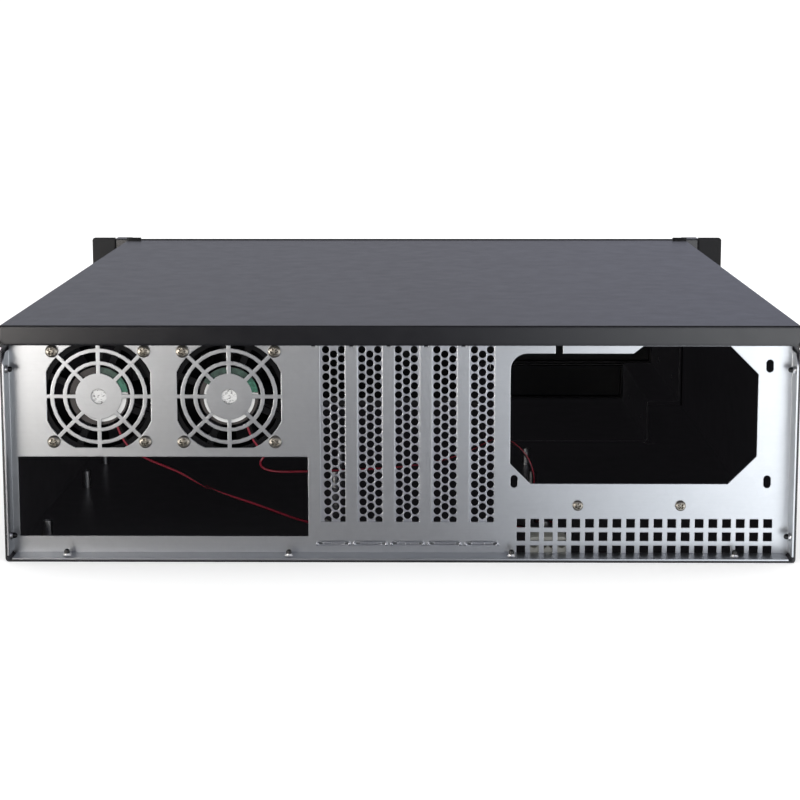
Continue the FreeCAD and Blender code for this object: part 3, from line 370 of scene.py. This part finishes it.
def lathe_mesh(profile, sides):
    """A turned solid about Z. The profile is (radius, z) points and starts and ends on the axis or closes."""
    def build(shape):
        rings = []
        for radius, z in profile:
            if radius == 0.0:
                rings.append([shape.verts.new((0.0, 0.0, z))])
            else:
                rings.append([shape.verts.new((x, y, z)) for x, y in circle(0.0, 0.0, radius, sides)])
        pairs = list(zip(rings, rings[1:] + rings[:1]))
        on_axis = profile[0][0] == 0.0
        for low, high in pairs[:-1] if on_axis else pairs:
            bridge(shape, low, high)
    mesh = mesh_from(build)
    smooth_by_angle(mesh)
    return mesh


def disc_mesh(radius, thickness, sides):
    return lathe_mesh([(0.0, 0.0), (radius, 0.0), (radius, thickness), (0.0, thickness)], sides)


def smooth_by_angle(mesh, limit=math.radians(32)):
    """Smooth faces, with hard edges where the faces turn by more than the limit."""
    shape = bmesh.new()
    shape.from_mesh(mesh)
    for face in shape.faces:
        face.smooth = True
    for edge in shape.edges:
        if len(edge.link_faces) == 2:
            edge.smooth = edge.calc_face_angle(0.0) < limit
    shape.to_mesh(mesh)
    shape.free()


def facing_rear(x, y, z):
    """Turns a shape whose own z is its height so that it stands out towards the rear."""
    return Matrix.Translation((x, y, z)) @ Matrix.Rotation(math.pi / 2, 4, "X")


def facing_side(x, y, z, side):
    """Turns a shape whose own z is its height so that it stands out towards +X or -X."""
    return Matrix.Translation((x, y, z)) @ Matrix.Rotation(side * math.pi / 2, 4, "Y")


def standing(x, y, z):
    """Moves a shape and leaves it upright."""
    return Matrix.Translation((x, y, z))


# ---------------------------------------------------------------- fasteners

def phillips_head(radius, height, turn):
    """A domed pan head with a cross recess; its seat is at z = 0."""
    sides, steps = 64, 20
    arm, half, ease = radius * 0.60, radius * 0.16, radius * 0.10
    rim_share, dome_power, recess_share, seat_share = 0.35, 2.6, 0.62, 0.97

    def top(x, y):
        share = min(1.0, math.hypot(x, y) / radius)
        dome = height * (rim_share + (1.0 - rim_share) * math.sqrt(max(0.0, 1.0 - share ** dome_power)))
        along, across = abs(x * math.cos(turn) + y * math.sin(turn)), abs(y * math.cos(turn) - x * math.sin(turn))
        near, far = min(along, across), max(along, across)
        sunk = min(1.0, max(0.0, (half - near) / ease + 0.5)) * min(1.0, max(0.0, (arm - far) / ease))
        return dome - recess_share * height * sunk

    def build(shape):
        rings = [[shape.verts.new((0.0, 0.0, top(0.0, 0.0)))]]
        for step in range(1, steps + 1):
            places = circle(0.0, 0.0, radius * step / steps, sides)
            rings.append([shape.verts.new((x, y, top(x, y))) for x, y in places])
        rings.append([shape.verts.new((x, y, 0.0)) for x, y in circle(0.0, 0.0, radius * seat_share, sides)])
        rings.append([shape.verts.new((0.0, 0.0, 0.0))])
        for low, high in zip(rings, rings[1:]):
            bridge(shape, low, high)
    mesh = mesh_from(build)
    smooth_by_angle(mesh, math.radians(45))
    return mesh


def shank_mesh(radius, length, pitch):
    """A threaded shank from z = 0 down, as stacked ridges with a pointed tip."""
    core, tip, sides = radius * 0.82, radius * 0.3, 20
    turns = int(length / pitch)
    profile = [(0.0, 0.0), (radius, 0.0)]
    for turn in range(turns):
        z = -length * (turn + 0.5) / turns
        profile.append((core, z))
        profile.append((radius, z - length * 0.5 / turns))
    profile.append((0.0, -length - tip))
    return lathe_mesh(profile, sides)


def screw_parts(place, head, shank, turn):
    """One screw at its seat: head is (radius, height), shank is (radius, length, thread pitch)."""
    return [(phillips_head(*head, turn), place), (shank_mesh(*shank), place)]


def make_fan_screws():
    head, shank = (3.5 * mm, 2.3 * mm), (1.9 * mm, 9.0 * mm, 1.0 * mm)
    turns = (0.3, 1.0, 0.1, 0.7, 1.3, 0.5, 0.9, 0.2)
    corners = [(centre, side, rise) for centre in fan_centres for side in (-1, 1) for rise in (-1, 1)]
    parts = []
    for turn, (centre, side, rise) in zip(turns, corners):
        place = facing_rear(centre.x + side * fan_screw_step, web_rear, centre.z + rise * fan_screw_step)
        parts += screw_parts(place, head, shank, turn)
    piece = add_piece("fan_mounting_screws", merged(parts), [zinc_screw])
    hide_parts("fan_screws")


def make_shelf_screws():
    low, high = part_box("psu_shelf_screws")
    head, shank = (2.9 * mm, 2.0 * mm), (1.5 * mm, 6.0 * mm, 0.8 * mm)
    z = (low.z + high.z) / 2
    parts = []
    for x, turn in ((low.x + head[0], 0.2), (high.x - head[0], 0.8)):
        parts += screw_parts(facing_rear(x, web_rear, z), head, shank, turn)
    piece = add_piece("shelf_mounting_screws", merged(parts), [zinc_screw])
    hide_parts("psu_shelf_screws")


def make_cover_screws():
    low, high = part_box("cover_screws")
    head, shank = (3.4 * mm, 1.2 * mm), (1.5 * mm, 3.2 * mm, 0.8 * mm)
    first_turn = 0.4
    z = (low.z + high.z) / 2
    seat = high.x - head[1]
    parts = []
    for side in (-1, 1):
        for y in (low.y + head[0], high.y - head[0]):
            parts += screw_parts(facing_side(side * seat, y, z, side), head, shank, first_turn + y)
    piece = add_piece("lid_screws", merged(parts), [black_screw])
    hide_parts("cover_screws")


def make_collars():
    """Rolled collars in the flanges of the rear panel, with the dark tips of the screws that they take."""
    sides = 24
    ring = lathe_mesh([
        (1.5 * mm, 0.0), (2.3 * mm, 0.0), (2.1 * mm, 0.5 * mm), (2.0 * mm, 1.1 * mm), (1.5 * mm, 1.2 * mm),
    ], sides)
    tip = lathe_mesh([
        (0.0, 0.1 * mm), (1.5 * mm, 0.1 * mm), (1.5 * mm, 2.2 * mm), (1.2 * mm, 3.0 * mm), (0.6 * mm, 3.4 * mm),
        (0.0, 3.5 * mm),
    ], sides)
    y = rear_edge + 7.0 * mm
    bottom_first, bottom_step, bottom_count = -182.2 * mm, 121.6 * mm, 4
    side_heights = (13.0 * mm, 105.0 * mm)
    places = [standing(bottom_first + index * bottom_step, y, panel_low.z + sheet) for index in range(bottom_count)]
    for side in (-1, 1):
        for z in side_heights:
            places.append(facing_side(side * (panel_high.x - sheet), y, z, -side))
    add_piece("flange_collars", merged([(ring, place) for place in places]), [zinc_pillar])
    add_piece("flange_screw_tips", merged([(tip, place) for place in places]), [black_screw])


def make_foot_guides():
    """Shallow pressed frames round the slots that take the feet of the slot covers."""
    half, tall, low = 9.7 * mm, 2.4 * mm, 5.8 * mm
    rim, end, taper, lift = 0.35 * mm, 1.2 * mm, 0.5 * mm, 0.5 * mm
    outline = [(-half, 0.0), (half, 0.0), (half - taper, tall), (-half + taper, tall)]
    hole = [(-half + end, 2 * rim), (half - end, 2 * rim), (half - end, tall - rim), (-half + end, tall - rim)]
    frame_mesh = plate_mesh(outline, [hole], lift)
    bar_half, bar_lift = 0.3 * mm, 0.3 * mm
    bar_places = (-5.4 * mm, -1.0 * mm, 1.6 * mm, 5.8 * mm)
    bar = plate_mesh([(-bar_half, rim), (bar_half, rim), (bar_half, tall - rim), (-bar_half, tall - rim)], [], bar_lift)
    boss_radius, boss_rise, boss_sides = 1.0 * mm, 0.8 * mm, 20
    boss = lathe_mesh([(0.0, 0.0), (boss_radius, 0.0), (0.75 * mm, 0.55 * mm), (0.0, 0.75 * mm)], boss_sides)
    off_middle = 0.1 * mm
    parts = []
    for number in range(1, 6):
        box_low, box_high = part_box(f"slot_cover_{number}")
        middle = (box_low.x + box_high.x) / 2 + off_middle
        parts.append((frame_mesh, facing_rear(middle, web_rear, low)))
        for side in (-1, 1):
            parts.append((boss, facing_rear(middle + side * (half - boss_radius), web_rear, low + boss_rise)))
        for x in bar_places:
            parts.append((bar, facing_rear(middle + x, web_rear, low)))
    add_piece("foot_guides", merged(parts), [zinc_cover])


def make_standoffs():
    """Hexagonal pillars with eased tops and threaded bores."""
    low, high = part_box("board_standoffs")
    flats = 5.0 * mm
    corner = flats / math.sqrt(3)
    height = high.z - low.z
    left, front = low.x + corner, high.y - flats / 2
    columns = (0.0, 157.48 * mm, 281.94 * mm)
    rows = (0.0, 72.39 * mm, 204.47 * mm)
    places = [(left + x, front - y) for x in columns for y in rows]
    chamfer, crown_share, sides = 0.35 * mm, 0.92, 24
    bore_radius, mouth_radius = 1.45 * mm, 1.65 * mm
    bore_depth, floor_radius, floor_thickness = 6.4 * mm, 1.5 * mm, 0.2 * mm
    ridge_outer, ridge_inner, ridge_half = 1.46 * mm, 1.22 * mm, 0.3 * mm
    first_ridge, ridge_pitch, ridges = 0.9 * mm, 0.7 * mm, 8
    hexagon = circle(0.0, 0.0, corner, 6)
    eased = [(x * crown_share, y * crown_share) for x, y in hexagon]
    body = plate_mesh(hexagon, [circle(0.0, 0.0, bore_radius, sides)], height - chamfer)
    crown = plate_mesh(eased, [circle(0.0, 0.0, mouth_radius, sides)], chamfer)
    bore_floor = disc_mesh(floor_radius, floor_thickness, sides)
    pillar_parts = [
        (body, Matrix()), (crown, standing(0.0, 0.0, height - chamfer)),
        (bore_floor, standing(0.0, 0.0, height - bore_depth)),
    ]
    ridge = lathe_mesh([(ridge_outer, -ridge_half), (ridge_outer, ridge_half), (ridge_inner, 0.0)], sides)
    for step in range(ridges):
        pillar_parts.append((ridge, standing(0.0, 0.0, height - first_ridge - ridge_pitch * step)))
    pillar = merged(pillar_parts)
    parts = [(pillar, standing(x, y, low.z)) for x, y in places]
    piece = add_piece("threaded_pillars", merged(parts), [zinc_pillar])
    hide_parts("board_standoffs")


# ---------------------------------------------------------------- slot covers

def make_slot_covers():
    """Perforated covers with round holes in three staggered columns, a narrow foot and a tab on the ledge."""
    hole, row_pitch, column_pitch, hole_sides = 4.15 * mm, 4.972 * mm, 4.33 * mm, 28
    rows, first_row = 20, 114.6 * mm
    thick, bend, notch = 0.8 * mm, 1.2 * mm, 2.2 * mm
    foot, foot_corner, shoulder, shoulder_rise = 5.5 * mm, 1.0 * mm, 17.0 * mm, 3.0 * mm
    # How far each cover's hole pattern sits off the middle of its slot, at the top and at the bottom
    offsets = ((0.6, 1.5), (-0.05, 0.4), (-0.6, 0.1), (0.0, 0.4), (0.1, 0.6))
    for number, (top_offset, bottom_offset) in enumerate(offsets, 1):
        low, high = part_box(f"slot_cover_{number}")
        middle, half = (low.x + high.x) / 2, (high.x - low.x) / 2
        outline = [
            (-half, high.z - bend), (-half, shoulder + shoulder_rise), (-foot, shoulder), (-foot, low.z + foot_corner),
            (-foot + foot_corner, low.z), (foot - foot_corner, low.z), (foot, low.z + foot_corner), (foot, shoulder),
            (half, shoulder + shoulder_rise), (half, high.z - bend),
        ]
        holes = []
        for column in (-1, 0, 1):
            for row in range(rows - (column == 0)):
                z = first_row - row * row_pitch - (row_pitch / 2 if column == 0 else 0.0)
                share = (first_row - z) / (rows * row_pitch)
                shift = (top_offset + (bottom_offset - top_offset) * share) * mm
                holes.append(circle(shift + column * column_pitch, z, hole / 2, hole_sides))
        face = plate_mesh(outline, holes, thick)
        tab_length = high.y - low.y - bend
        notch_middle = (high.y - low.y) / 2 - bend
        tab = [
            (-half, 0.0), (half, 0.0), (half, notch_middle - notch), (half - 2 * notch, notch_middle - notch),
            (half - 2 * notch, notch_middle + notch), (half, notch_middle + notch), (half, tab_length),
            (-half, tab_length),
        ]
        tab_plate = plate_mesh(tab, [], thick)
        parts = [
            (face, facing_rear(middle, high.y, 0.0)),
            (tab_plate, standing(middle, high.y - bend, high.z - thick) @ Matrix.Scale(-1.0, 4, (0, 1, 0))),
            (fold_mesh(half, bend, thick), standing(middle, high.y - bend, high.z - bend)),
        ]
        piece = add_piece(f"perforated_cover_{number}", merged(parts), [zinc_cover])
        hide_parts(f"slot_cover_{number}")


def fold_mesh(half, outer, thick):
    """A quarter bend of sheet about X, from straight up at +Y to level at the top."""
    steps = 6
    corners = ((-half, outer - thick), (half, outer - thick), (half, outer), (-half, outer))

    def build(shape):
        rings = []
        for step in range(steps + 1):
            y, z = math.cos(math.pi / 2 * step / steps), math.sin(math.pi / 2 * step / steps)
            rings.append([shape.verts.new((x, radius * y, radius * z)) for x, radius in corners])
        capped_tube(shape, rings)
    return mesh_from(build)


# ---------------------------------------------------------------- fans

def blade_mesh(root, tip, middle, depth):
    """One cambered, twisted blade along +X, closed, with a rounded leading edge."""
    spans, chords = 10, 12
    root_chord, chord_gain = 13.5 * mm, 5.5 * mm
    root_pitch, pitch_loss = 50, 16
    camber_share, edge_half, nose_half, tail_reach = 0.11, 0.12 * mm, 1.178 * mm, 1.15

    def section(share, along, side):
        radius = root + (tip - root) * share
        chord = root_chord + chord_gain * share
        pitch = math.radians(root_pitch - pitch_loss * share)
        camber = camber_share * chord * (1 - (2 * along - 1) ** 2)
        half = nose_half * math.sqrt(max(0.0, along)) * (tail_reach - along) + edge_half
        run = (along - 0.5) * chord
        out = camber + side * half
        y = middle + run * math.sin(pitch) - out * math.cos(pitch)
        sweep = run * math.cos(pitch) + out * math.sin(pitch)
        angle = sweep / radius
        low, high = middle - depth / 2, middle + depth / 2
        return (radius * math.cos(angle), min(max(y, low), high), radius * math.sin(angle))

    def build(shape):
        rings = []
        for span in range(spans + 1):
            ring = [shape.verts.new(section(span / spans, chord / chords, 1)) for chord in range(chords + 1)]
            ring += [shape.verts.new(section(span / spans, chord / chords, -1)) for chord in range(chords, -1, -1)]
            rings.append(ring)
        capped_tube(shape, rings)
    mesh = mesh_from(build)
    smooth_by_angle(mesh, math.radians(50))
    return mesh


def arc_plate(inner, outer, start, end, thickness):
    """A flat piece of a ring, from one angle to another."""
    steps = 24
    angles = [math.radians(start + (end - start) * step / steps) for step in range(steps + 1)]
    outline = [(outer * math.cos(angle), outer * math.sin(angle)) for angle in angles]
    outline += [(inner * math.cos(angle), inner * math.sin(angle)) for angle in reversed(angles)]
    return plate_mesh(outline, [], thickness)


def fan_rotor(centre, hub_back, hub_front, hub_radius, tip):
    """Hub cup with its shaft and seven blades."""
    depth = hub_front - hub_back
    boss, dish, sides = 5.0 * mm, 0.4 * mm, 64
    shaft_radius, shaft_length, shaft_reach, shaft_sides = 1.5 * mm, 5.0 * mm, 3.2 * mm, 24
    blades, blade_root = 7, hub_radius - 1.0 * mm
    hub = [
        (0.0, 0.0), (hub_radius, 0.0), (hub_radius, depth - 1.4 * mm), (hub_radius - 0.4 * mm, depth - 0.5 * mm),
        (hub_radius - 1.2 * mm, depth), (boss, depth), (boss - dish, depth - dish), (0.0, depth - dish),
    ]
    to_front = Matrix.Translation((centre.x, hub_back, centre.z)) @ Matrix.Rotation(-math.pi / 2, 4, "X")
    shaft = disc_mesh(shaft_radius, shaft_length, shaft_sides)
    parts = [(lathe_mesh(hub, sides), to_front), (shaft, standing(0.0, -shaft_reach, 0.0) @ to_front)]
    blade = blade_mesh(blade_root, tip, (hub_back + hub_front) / 2, depth)
    for index in range(blades):
        parts.append((blade, standing(centre.x, 0.0, centre.z) @ Matrix.Rotation(2 * math.pi / blades * index, 4, "Y")))
    return merged(parts)


def make_fans():
    hub_gap, hub_radius, motor_gap = 4.2 * mm, 15.8 * mm, 0.6 * mm
    for number, (centre, (low, _)) in enumerate(zip(fan_centres, fan_boxes), 1):
        rotor_low, rotor_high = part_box(f"fan_{number}_rotor")
        tip = (rotor_high.z - rotor_low.z) / 2
        rotor = fan_rotor(centre, low.y + hub_gap, rotor_high.y, hub_radius, tip)
        piece = add_piece(f"fan_{number}_blades", rotor, [fan_plastic], f"fan_{number}_impeller")
        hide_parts(f"fan_{number}_rotor")
        dress_motor(number, centre, low.y + motor_gap)


def dress_motor(number, centre, base):
    """What shows round the guard's middle disc: motor back, circuit board, label and the two motor wires. The board's
    arc where light falls is painted lighter and the rest painted darker: painted light and painted shade on one green
    board.
    """
    back_radius, back_thickness = 16.0 * mm, 0.15 * mm
    label_radius, label_right, label_down = ((13.3, 1.6, 0.8), (14.0, 0.1, 0.7))[number - 1]
    label_thickness, label_lift = 0.15 * mm, 0.17 * mm
    patch_radius, patch_thickness, patch_lift = 6.0 * mm, 0.06 * mm, 0.16 * mm
    chip_half, chip_tall, chip_thickness, chip_right, chip_up = 1.0 * mm, 0.9 * mm, 0.5 * mm, 14.8 * mm, 1.0 * mm
    board_inner, board_outer, board_thickness = 12.2 * mm, 15.9 * mm, 0.08 * mm
    # The board is one green solder mask; its first arc is painted lighter where light falls and the next arc painted
    # darker as shade.
    lit_arc_start, lit_arc_end, shaded_arc_end = 9.0, 44.0, (92.0, 150.0)[number - 1]

    back = plate_mesh(circle(0.0, 0.0, back_radius, 64), [], back_thickness)
    back = merged([(back, facing_rear(centre.x, base, centre.z))])
    add_piece(f"fan_{number}_motor_back", back, [motor_plastic])

    base -= label_lift
    label = disc_mesh(label_radius * mm, label_thickness, 64)
    patch = disc_mesh(patch_radius, patch_thickness, 48)
    use_second_material(patch)
    chip = [(-chip_half, -chip_tall), (chip_half, -chip_tall), (chip_half, chip_tall), (-chip_half, chip_tall)]
    parts = [
        (label, facing_rear(centre.x + label_right * mm, base, centre.z - label_down * mm)),
        (patch, facing_rear(centre.x, base - patch_lift, centre.z)),
        (plate_mesh(chip, [], chip_thickness), facing_rear(centre.x + chip_right, base, centre.z + chip_up)),
    ]
    add_piece(f"fan_{number}_label", merged(parts), [label_foil, label_print])

    base -= label_lift
    # A painted lit arc and a painted shaded arc of the same board.
    lit_arc = arc_plate(board_inner, board_outer, lit_arc_start, lit_arc_end, board_thickness)
    shaded_arc = arc_plate(board_inner, board_outer, lit_arc_end, shaded_arc_end, board_thickness)
    use_second_material(shaded_arc)
    place = facing_rear(centre.x, base, centre.z)
    add_piece(f"fan_{number}_circuit_board", merged([(lit_arc, place), (shaded_arc, place)]), [board_painted_lit, board_painted_shade])

    wire_radius, wire_step, wire_lift = 0.55 * mm, 1.5 * mm, 0.1 * mm
    path = [(9.0, 15.0), (10.3, 18.6), (11.6, 22.0), (13.4, 25.4), (16.4, 29.0)]
    wires = []
    for step in (0.0, wire_step):
        points = [Vector((centre.x + x * mm + step, base - wire_lift, centre.z - z * mm)) for x, z in path]
        wires.append(strand_mesh(spline_line(points), wire_radius, 0.0, 0.0, 1.0))
    use_second_material(wires[1])
    add_piece(f"fan_{number}_motor_wires", merged([(wire, Matrix()) for wire in wires]), [red_wire, black_wire])


# ---------------------------------------------------------------- leads and their plug

# The leads' middle points: (x, depth from the rear edge, height), between a straight drop out of the
# fan's outlet and a straight run into the plug
lead_points = (
    [
        (-131.0, 40.0, 44.6), (-123.0, 41.0, 41.0), (-106.0, 44.5, 29.5), (-83.5, 50.0, 20.8), (-53.4, 57.0, 8.0),
        (-22.0, 61.0, 2.6), (28.0, 65.0, 2.3), (60.0, 74.0, 2.6),
    ],
    [
        (-79.0, 39.5, 46.8), (-76.5, 41.0, 43.0), (-69.0, 42.0, 41.3), (-51.5, 47.0, 40.6), (-17.0, 47.0, 41.8),
        (17.0, 42.0, 46.0), (39.0, 36.0, 54.5), (54.5, 31.0, 65.0), (68.5, 30.0, 56.0), (74.3, 30.6, 43.0),
        (73.5, 34.0, 30.0), (76.5, 47.0, 15.5), (77.0, 64.0, 7.0), (80.0, 75.0, 4.5), (86.0, 77.5, 4.4),
        (88.6, 70.0, 5.0),
    ],
)
lead_drop, lead_run = 2.8 * mm, 18.0 * mm
lead_entries = (-6.5 * mm, 6.5 * mm)
lead_twists = (100.0 * mm, 400.0 * mm)
red_radius, red_offset = 0.62 * mm, 0.36 * mm
black_radius, black_offset = 0.42 * mm, 0.55 * mm


def spline_line(points):
    """Points read along the smooth spline through a route's control points."""
    curve = bpy.data.curves.new("route", "CURVE")
    curve.dimensions = "3D"
    curve.resolution_u = 12
    spline = curve.splines.new("NURBS")
    spline.points.add(len(points) - 1)
    for point, place in zip(spline.points, points):
        point.co = (*place, 1.0)
    spline.order_u = 3
    spline.use_endpoint_u = True
    holder = bpy.data.objects.new("route", curve)
    mesh = bpy.data.meshes.new_from_object(holder)
    line = [vertex.co.copy() for vertex in mesh.vertices]
    bpy.data.objects.remove(holder)
    bpy.data.curves.remove(curve)
    return line


def strand_mesh(line, radius, offset, phase, period):
    """One insulated wire that winds slowly round the lead's line."""
    sides = 10
    frames = []
    side = (line[1] - line[0]).cross(Vector((0.0, 1.0, 0.0))).normalized()
    travelled = 0.0
    for index, point in enumerate(line):
        before = line[max(index - 1, 0)]
        after = line[min(index + 1, len(line) - 1)]
        along = (after - before).normalized()
        side = (side - along * side.dot(along)).normalized()
        travelled += (point - before).length
        frames.append((point, side.copy(), along.cross(side), travelled))

    def build(shape):
        rings = []
        for point, across, up, distance in frames:
            turn = phase + 2 * math.pi * distance / period
            centre = point + (across * math.cos(turn) + up * math.sin(turn)) * offset
            rings.append([shape.verts.new(centre + across * x + up * y) for x, y in circle(0.0, 0.0, radius, sides)])
        capped_tube(shape, rings)
    mesh = mesh_from(build)
    smooth_by_angle(mesh)
    return mesh


def make_plug():
    """Four-way power plug: a keyed shell with round wells, brass sockets and rear cable entries."""
    low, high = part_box("fan_power_plug")
    width, length, tall = high - low
    middle, half, cut = (low.x + high.x) / 2, width / 2, 1.6 * mm
    ways, pitch, back_length = 4, 5.08 * mm, 3.0 * mm
    well_radius, well_sides, entry_radius, entry_sides = 2.0 * mm, 28, 1.5 * mm, 20
    socket_bore, socket_radius, socket_length, socket_gap, socket_sides = 1.15 * mm, 1.6 * mm, 12.0 * mm, 0.2 * mm, 24
    outline = [
        (-half, 0.0), (half, 0.0), (half, tall - cut), (half - cut, tall), (-half + cut, tall), (-half, tall - cut),
    ]
    steps = [((1 - ways) / 2 + index) * pitch for index in range(ways)]
    wells = [circle(x, tall / 2, well_radius, well_sides) for x in steps]
    entries = [circle(x, tall / 2, entry_radius, entry_sides) for x in steps]
    shell = plate_mesh(outline, wells, length - back_length)
    back = plate_mesh(outline, entries, back_length)
    parts = [(shell, facing_rear(middle, high.y - back_length, low.z)), (back, facing_rear(middle, high.y, low.z))]
    shell_piece = add_piece("power_plug_shell", merged(parts), [nylon])
    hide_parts("fan_power_plug")
    socket = lathe_mesh([
        (socket_bore, 0.0), (socket_radius, 0.0), (socket_radius, socket_length), (socket_bore, socket_length),
    ], socket_sides)
    front = high.y - back_length - socket_gap
    sockets = [(socket, facing_rear(middle + x, front, low.z + tall / 2)) for x in steps]
    contacts = add_piece("power_plug_contacts", merged(sockets), [brass])
    return shell_piece, contacts


def make_leads():
    plug_low, plug_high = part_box("fan_power_plug")
    plug_middle = (plug_low + plug_high) / 2
    plug = make_plug()
    drop, run = Vector((0.0, 0.0, -lead_drop)), Vector((0.0, lead_run, 0.0))
    for number, points in enumerate(lead_points, 1):
        low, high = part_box(f"fan_{number}_lead_outlet")
        start = Vector(((low.x + high.x) / 2, (low.y + high.y) / 2, low.z))
        end = Vector((plug_middle.x + lead_entries[number - 1], plug_high.y, plug_middle.z))
        middle = [Vector((x * mm, rear_edge + depth * mm, z * mm)) for x, depth, z in points]
        line = spline_line([start, start + drop] + middle + [end + run, end])
        twist = lead_twists[number - 1]
        red = strand_mesh(line, red_radius, red_offset, math.pi / 2, twist)
        black = strand_mesh(line, black_radius, black_offset, -math.pi / 2, twist)
        use_second_material(black)
        piece = add_piece(f"fan_{number}_wires", merged([(red, Matrix()), (black, Matrix())]), [red_wire, black_wire])
        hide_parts(f"fan_{number}_lead")


make_fan_screws()
make_shelf_screws()
make_cover_screws()
make_collars()
make_foot_guides()
make_standoffs()
make_slot_covers()
make_fans()
make_leads()


# ---------------------------------------------------------------- stage, light and camera

def stage_plane(name, corners, material):
    """A four-cornered stage piece."""
    mesh = bpy.data.meshes.new(name)
    mesh.from_pydata(corners, [], [(0, 1, 2, 3)])
    plane = bpy.data.objects.new(name, mesh)
    bpy.context.scene.collection.objects.link(plane)
    paint(plane, material)
    return plane


def make_floor():
    made = Finish("pale_floor")
    made.set(Base_Color=made.blend(made.noise(3.0), shade(0.90), shade(0.92)), Roughness=0.8)
    made.set(Emission_Color=shade(1.0), Emission_Strength=0.25)
    reach = 6.0
    corners = [(-reach, -reach, 0.0), (reach, -reach, 0.0), (reach, reach, 0.0), (-reach, reach, 0.0)]
    floor = stage_plane("floor", corners, made.material)
    floor.visible_glossy = False


# How bright the studio looks in reflections, from side to side: (x in metres, colour)
studio_reach = 2.4
near_glow = (
    (-2.4, (1.1, 1.05, 1.0)), (-0.75, (12.0, 11.5, 11.0)), (-0.57, (11.6, 11.1, 10.6)), (-0.45, (0.8, 0.75, 0.7)),
    (-0.28, (0.10, 0.10, 0.10)), (0.04, (0.20, 0.20, 0.22)), (0.18, (1.3, 1.36, 1.45)), (0.42, (3.7, 3.8, 3.9)),
    (0.75, (4.1, 4.1, 4.1)), (2.4, (1.0, 1.0, 1.0)),
)
far_glow = ((-2.4, (0.33, 0.34, 0.38)), (0.0, (0.31, 0.315, 0.365)), (2.4, (0.33, 0.35, 0.48)))
top_glow = (
    (-2.4, (0.25, 0.25, 0.26)), (-0.7, (0.06, 0.06, 0.07)), (0.7, (0.06, 0.06, 0.08)), (2.4, (0.25, 0.25, 0.26)),
)


def studio_card(name, corners, stops):
    """A card that only reflections see, with light that changes from side to side."""
    peak = max(max(colour) for _, colour in stops)
    material = bpy.data.materials.new(name)
    material.use_nodes = True
    tree = material.node_tree
    tree.nodes.clear()
    place = tree.nodes.new("ShaderNodeTexCoord")
    split = tree.nodes.new("ShaderNodeSeparateXYZ")
    tree.links.new(place.outputs["Object"], split.inputs[0])
    across = tree.nodes.new("ShaderNodeMapRange")
    across.inputs["From Min"].default_value = -studio_reach
    across.inputs["From Max"].default_value = studio_reach
    tree.links.new(split.outputs["X"], across.inputs["Value"])
    ramp = tree.nodes.new("ShaderNodeValToRGB")
    tree.links.new(across.outputs["Result"], ramp.inputs["Fac"])
    points = ramp.color_ramp.elements
    while len(points) < len(stops):
        points.new(0.5)
    for point, (x, colour) in zip(points, stops):
        point.position = (x + studio_reach) / (2 * studio_reach)
        point.color = (*(part / peak for part in colour), 1.0)
    glow = tree.nodes.new("ShaderNodeEmission")
    glow.inputs["Strength"].default_value = peak
    tree.links.new(ramp.outputs["Color"], glow.inputs["Color"])
    output = tree.nodes.new("ShaderNodeOutputMaterial")
    tree.links.new(glow.outputs["Emission"], output.inputs["Surface"])
    card = stage_plane(name, corners, material)
    card.visible_camera = False
    card.visible_diffuse = False
    card.visible_shadow = False


def make_studio_cards():
    """Cards behind, above and below the camera, and one far behind the case."""
    back, far, end = -1.7, 2.6, 1.2
    low, middle, high = -0.02, 0.22, 1.5
    left, right = -studio_reach, studio_reach
    for name, glow, (start_y, start_z), (end_y, end_z) in (
        ("back_card", near_glow, (back, low), (back, middle)),
        ("high_card", far_glow, (back, middle), (back, high)),
        ("top_card", top_glow, (back, high), (end, high)),
        ("low_card", near_glow, (back, low), (rear_edge, low)),
        ("far_card", far_glow, (far, low), (far, high)),
    ):
        corners = [(left, start_y, start_z), (right, start_y, start_z), (right, end_y, end_z), (left, end_y, end_z)]
        studio_card(name, corners, glow)


def make_light():
    world_strength = 1.12
    place, size, power = Vector((0.0, -0.3, 2.2)), (2.6, 2.0), 6.0
    world = bpy.data.worlds.new("studio")
    bpy.context.scene.world = world
    world.use_nodes = True
    background = world.node_tree.nodes["Background"]
    background.inputs["Color"].default_value = shade(1.0)
    background.inputs["Strength"].default_value = world_strength
    data = bpy.data.lights.new("top_soft_box", "AREA")
    data.shape = "RECTANGLE"
    data.size, data.size_y = size
    data.energy = power
    lamp = bpy.data.objects.new("top_soft_box", data)
    lamp.location = place
    lamp.rotation_euler = (-place).to_track_quat("-Z", "Y").to_euler()
    lamp.visible_glossy = False
    bpy.context.scene.collection.objects.link(lamp)


def make_camera():
    place = (12.09 * mm, -1299.5 * mm, 277.76 * mm)
    pitch, yaw, roll = math.radians(8.455), math.radians(-0.644), math.radians(0.053)
    data = bpy.data.cameras.new("camera")
    data.sensor_width, data.lens, data.shift_y = 36.0, 89.18, -0.075
    data.clip_start, data.clip_end = 0.05, 50.0
    camera = bpy.data.objects.new("camera", data)
    camera.location = place
    forward = Vector((math.sin(yaw) * math.cos(pitch), math.cos(yaw) * math.cos(pitch), -math.sin(pitch)))
    turn = forward.to_track_quat("-Z", "Y").to_matrix().to_4x4()
    camera.rotation_euler = (turn @ Matrix.Rotation(-roll, 4, "Z")).to_euler()
    bpy.context.scene.collection.objects.link(camera)
    bpy.context.scene.camera = camera


make_floor()
make_studio_cards()
make_light()
make_camera()
bpy.context.scene.view_settings.view_transform = "Standard"
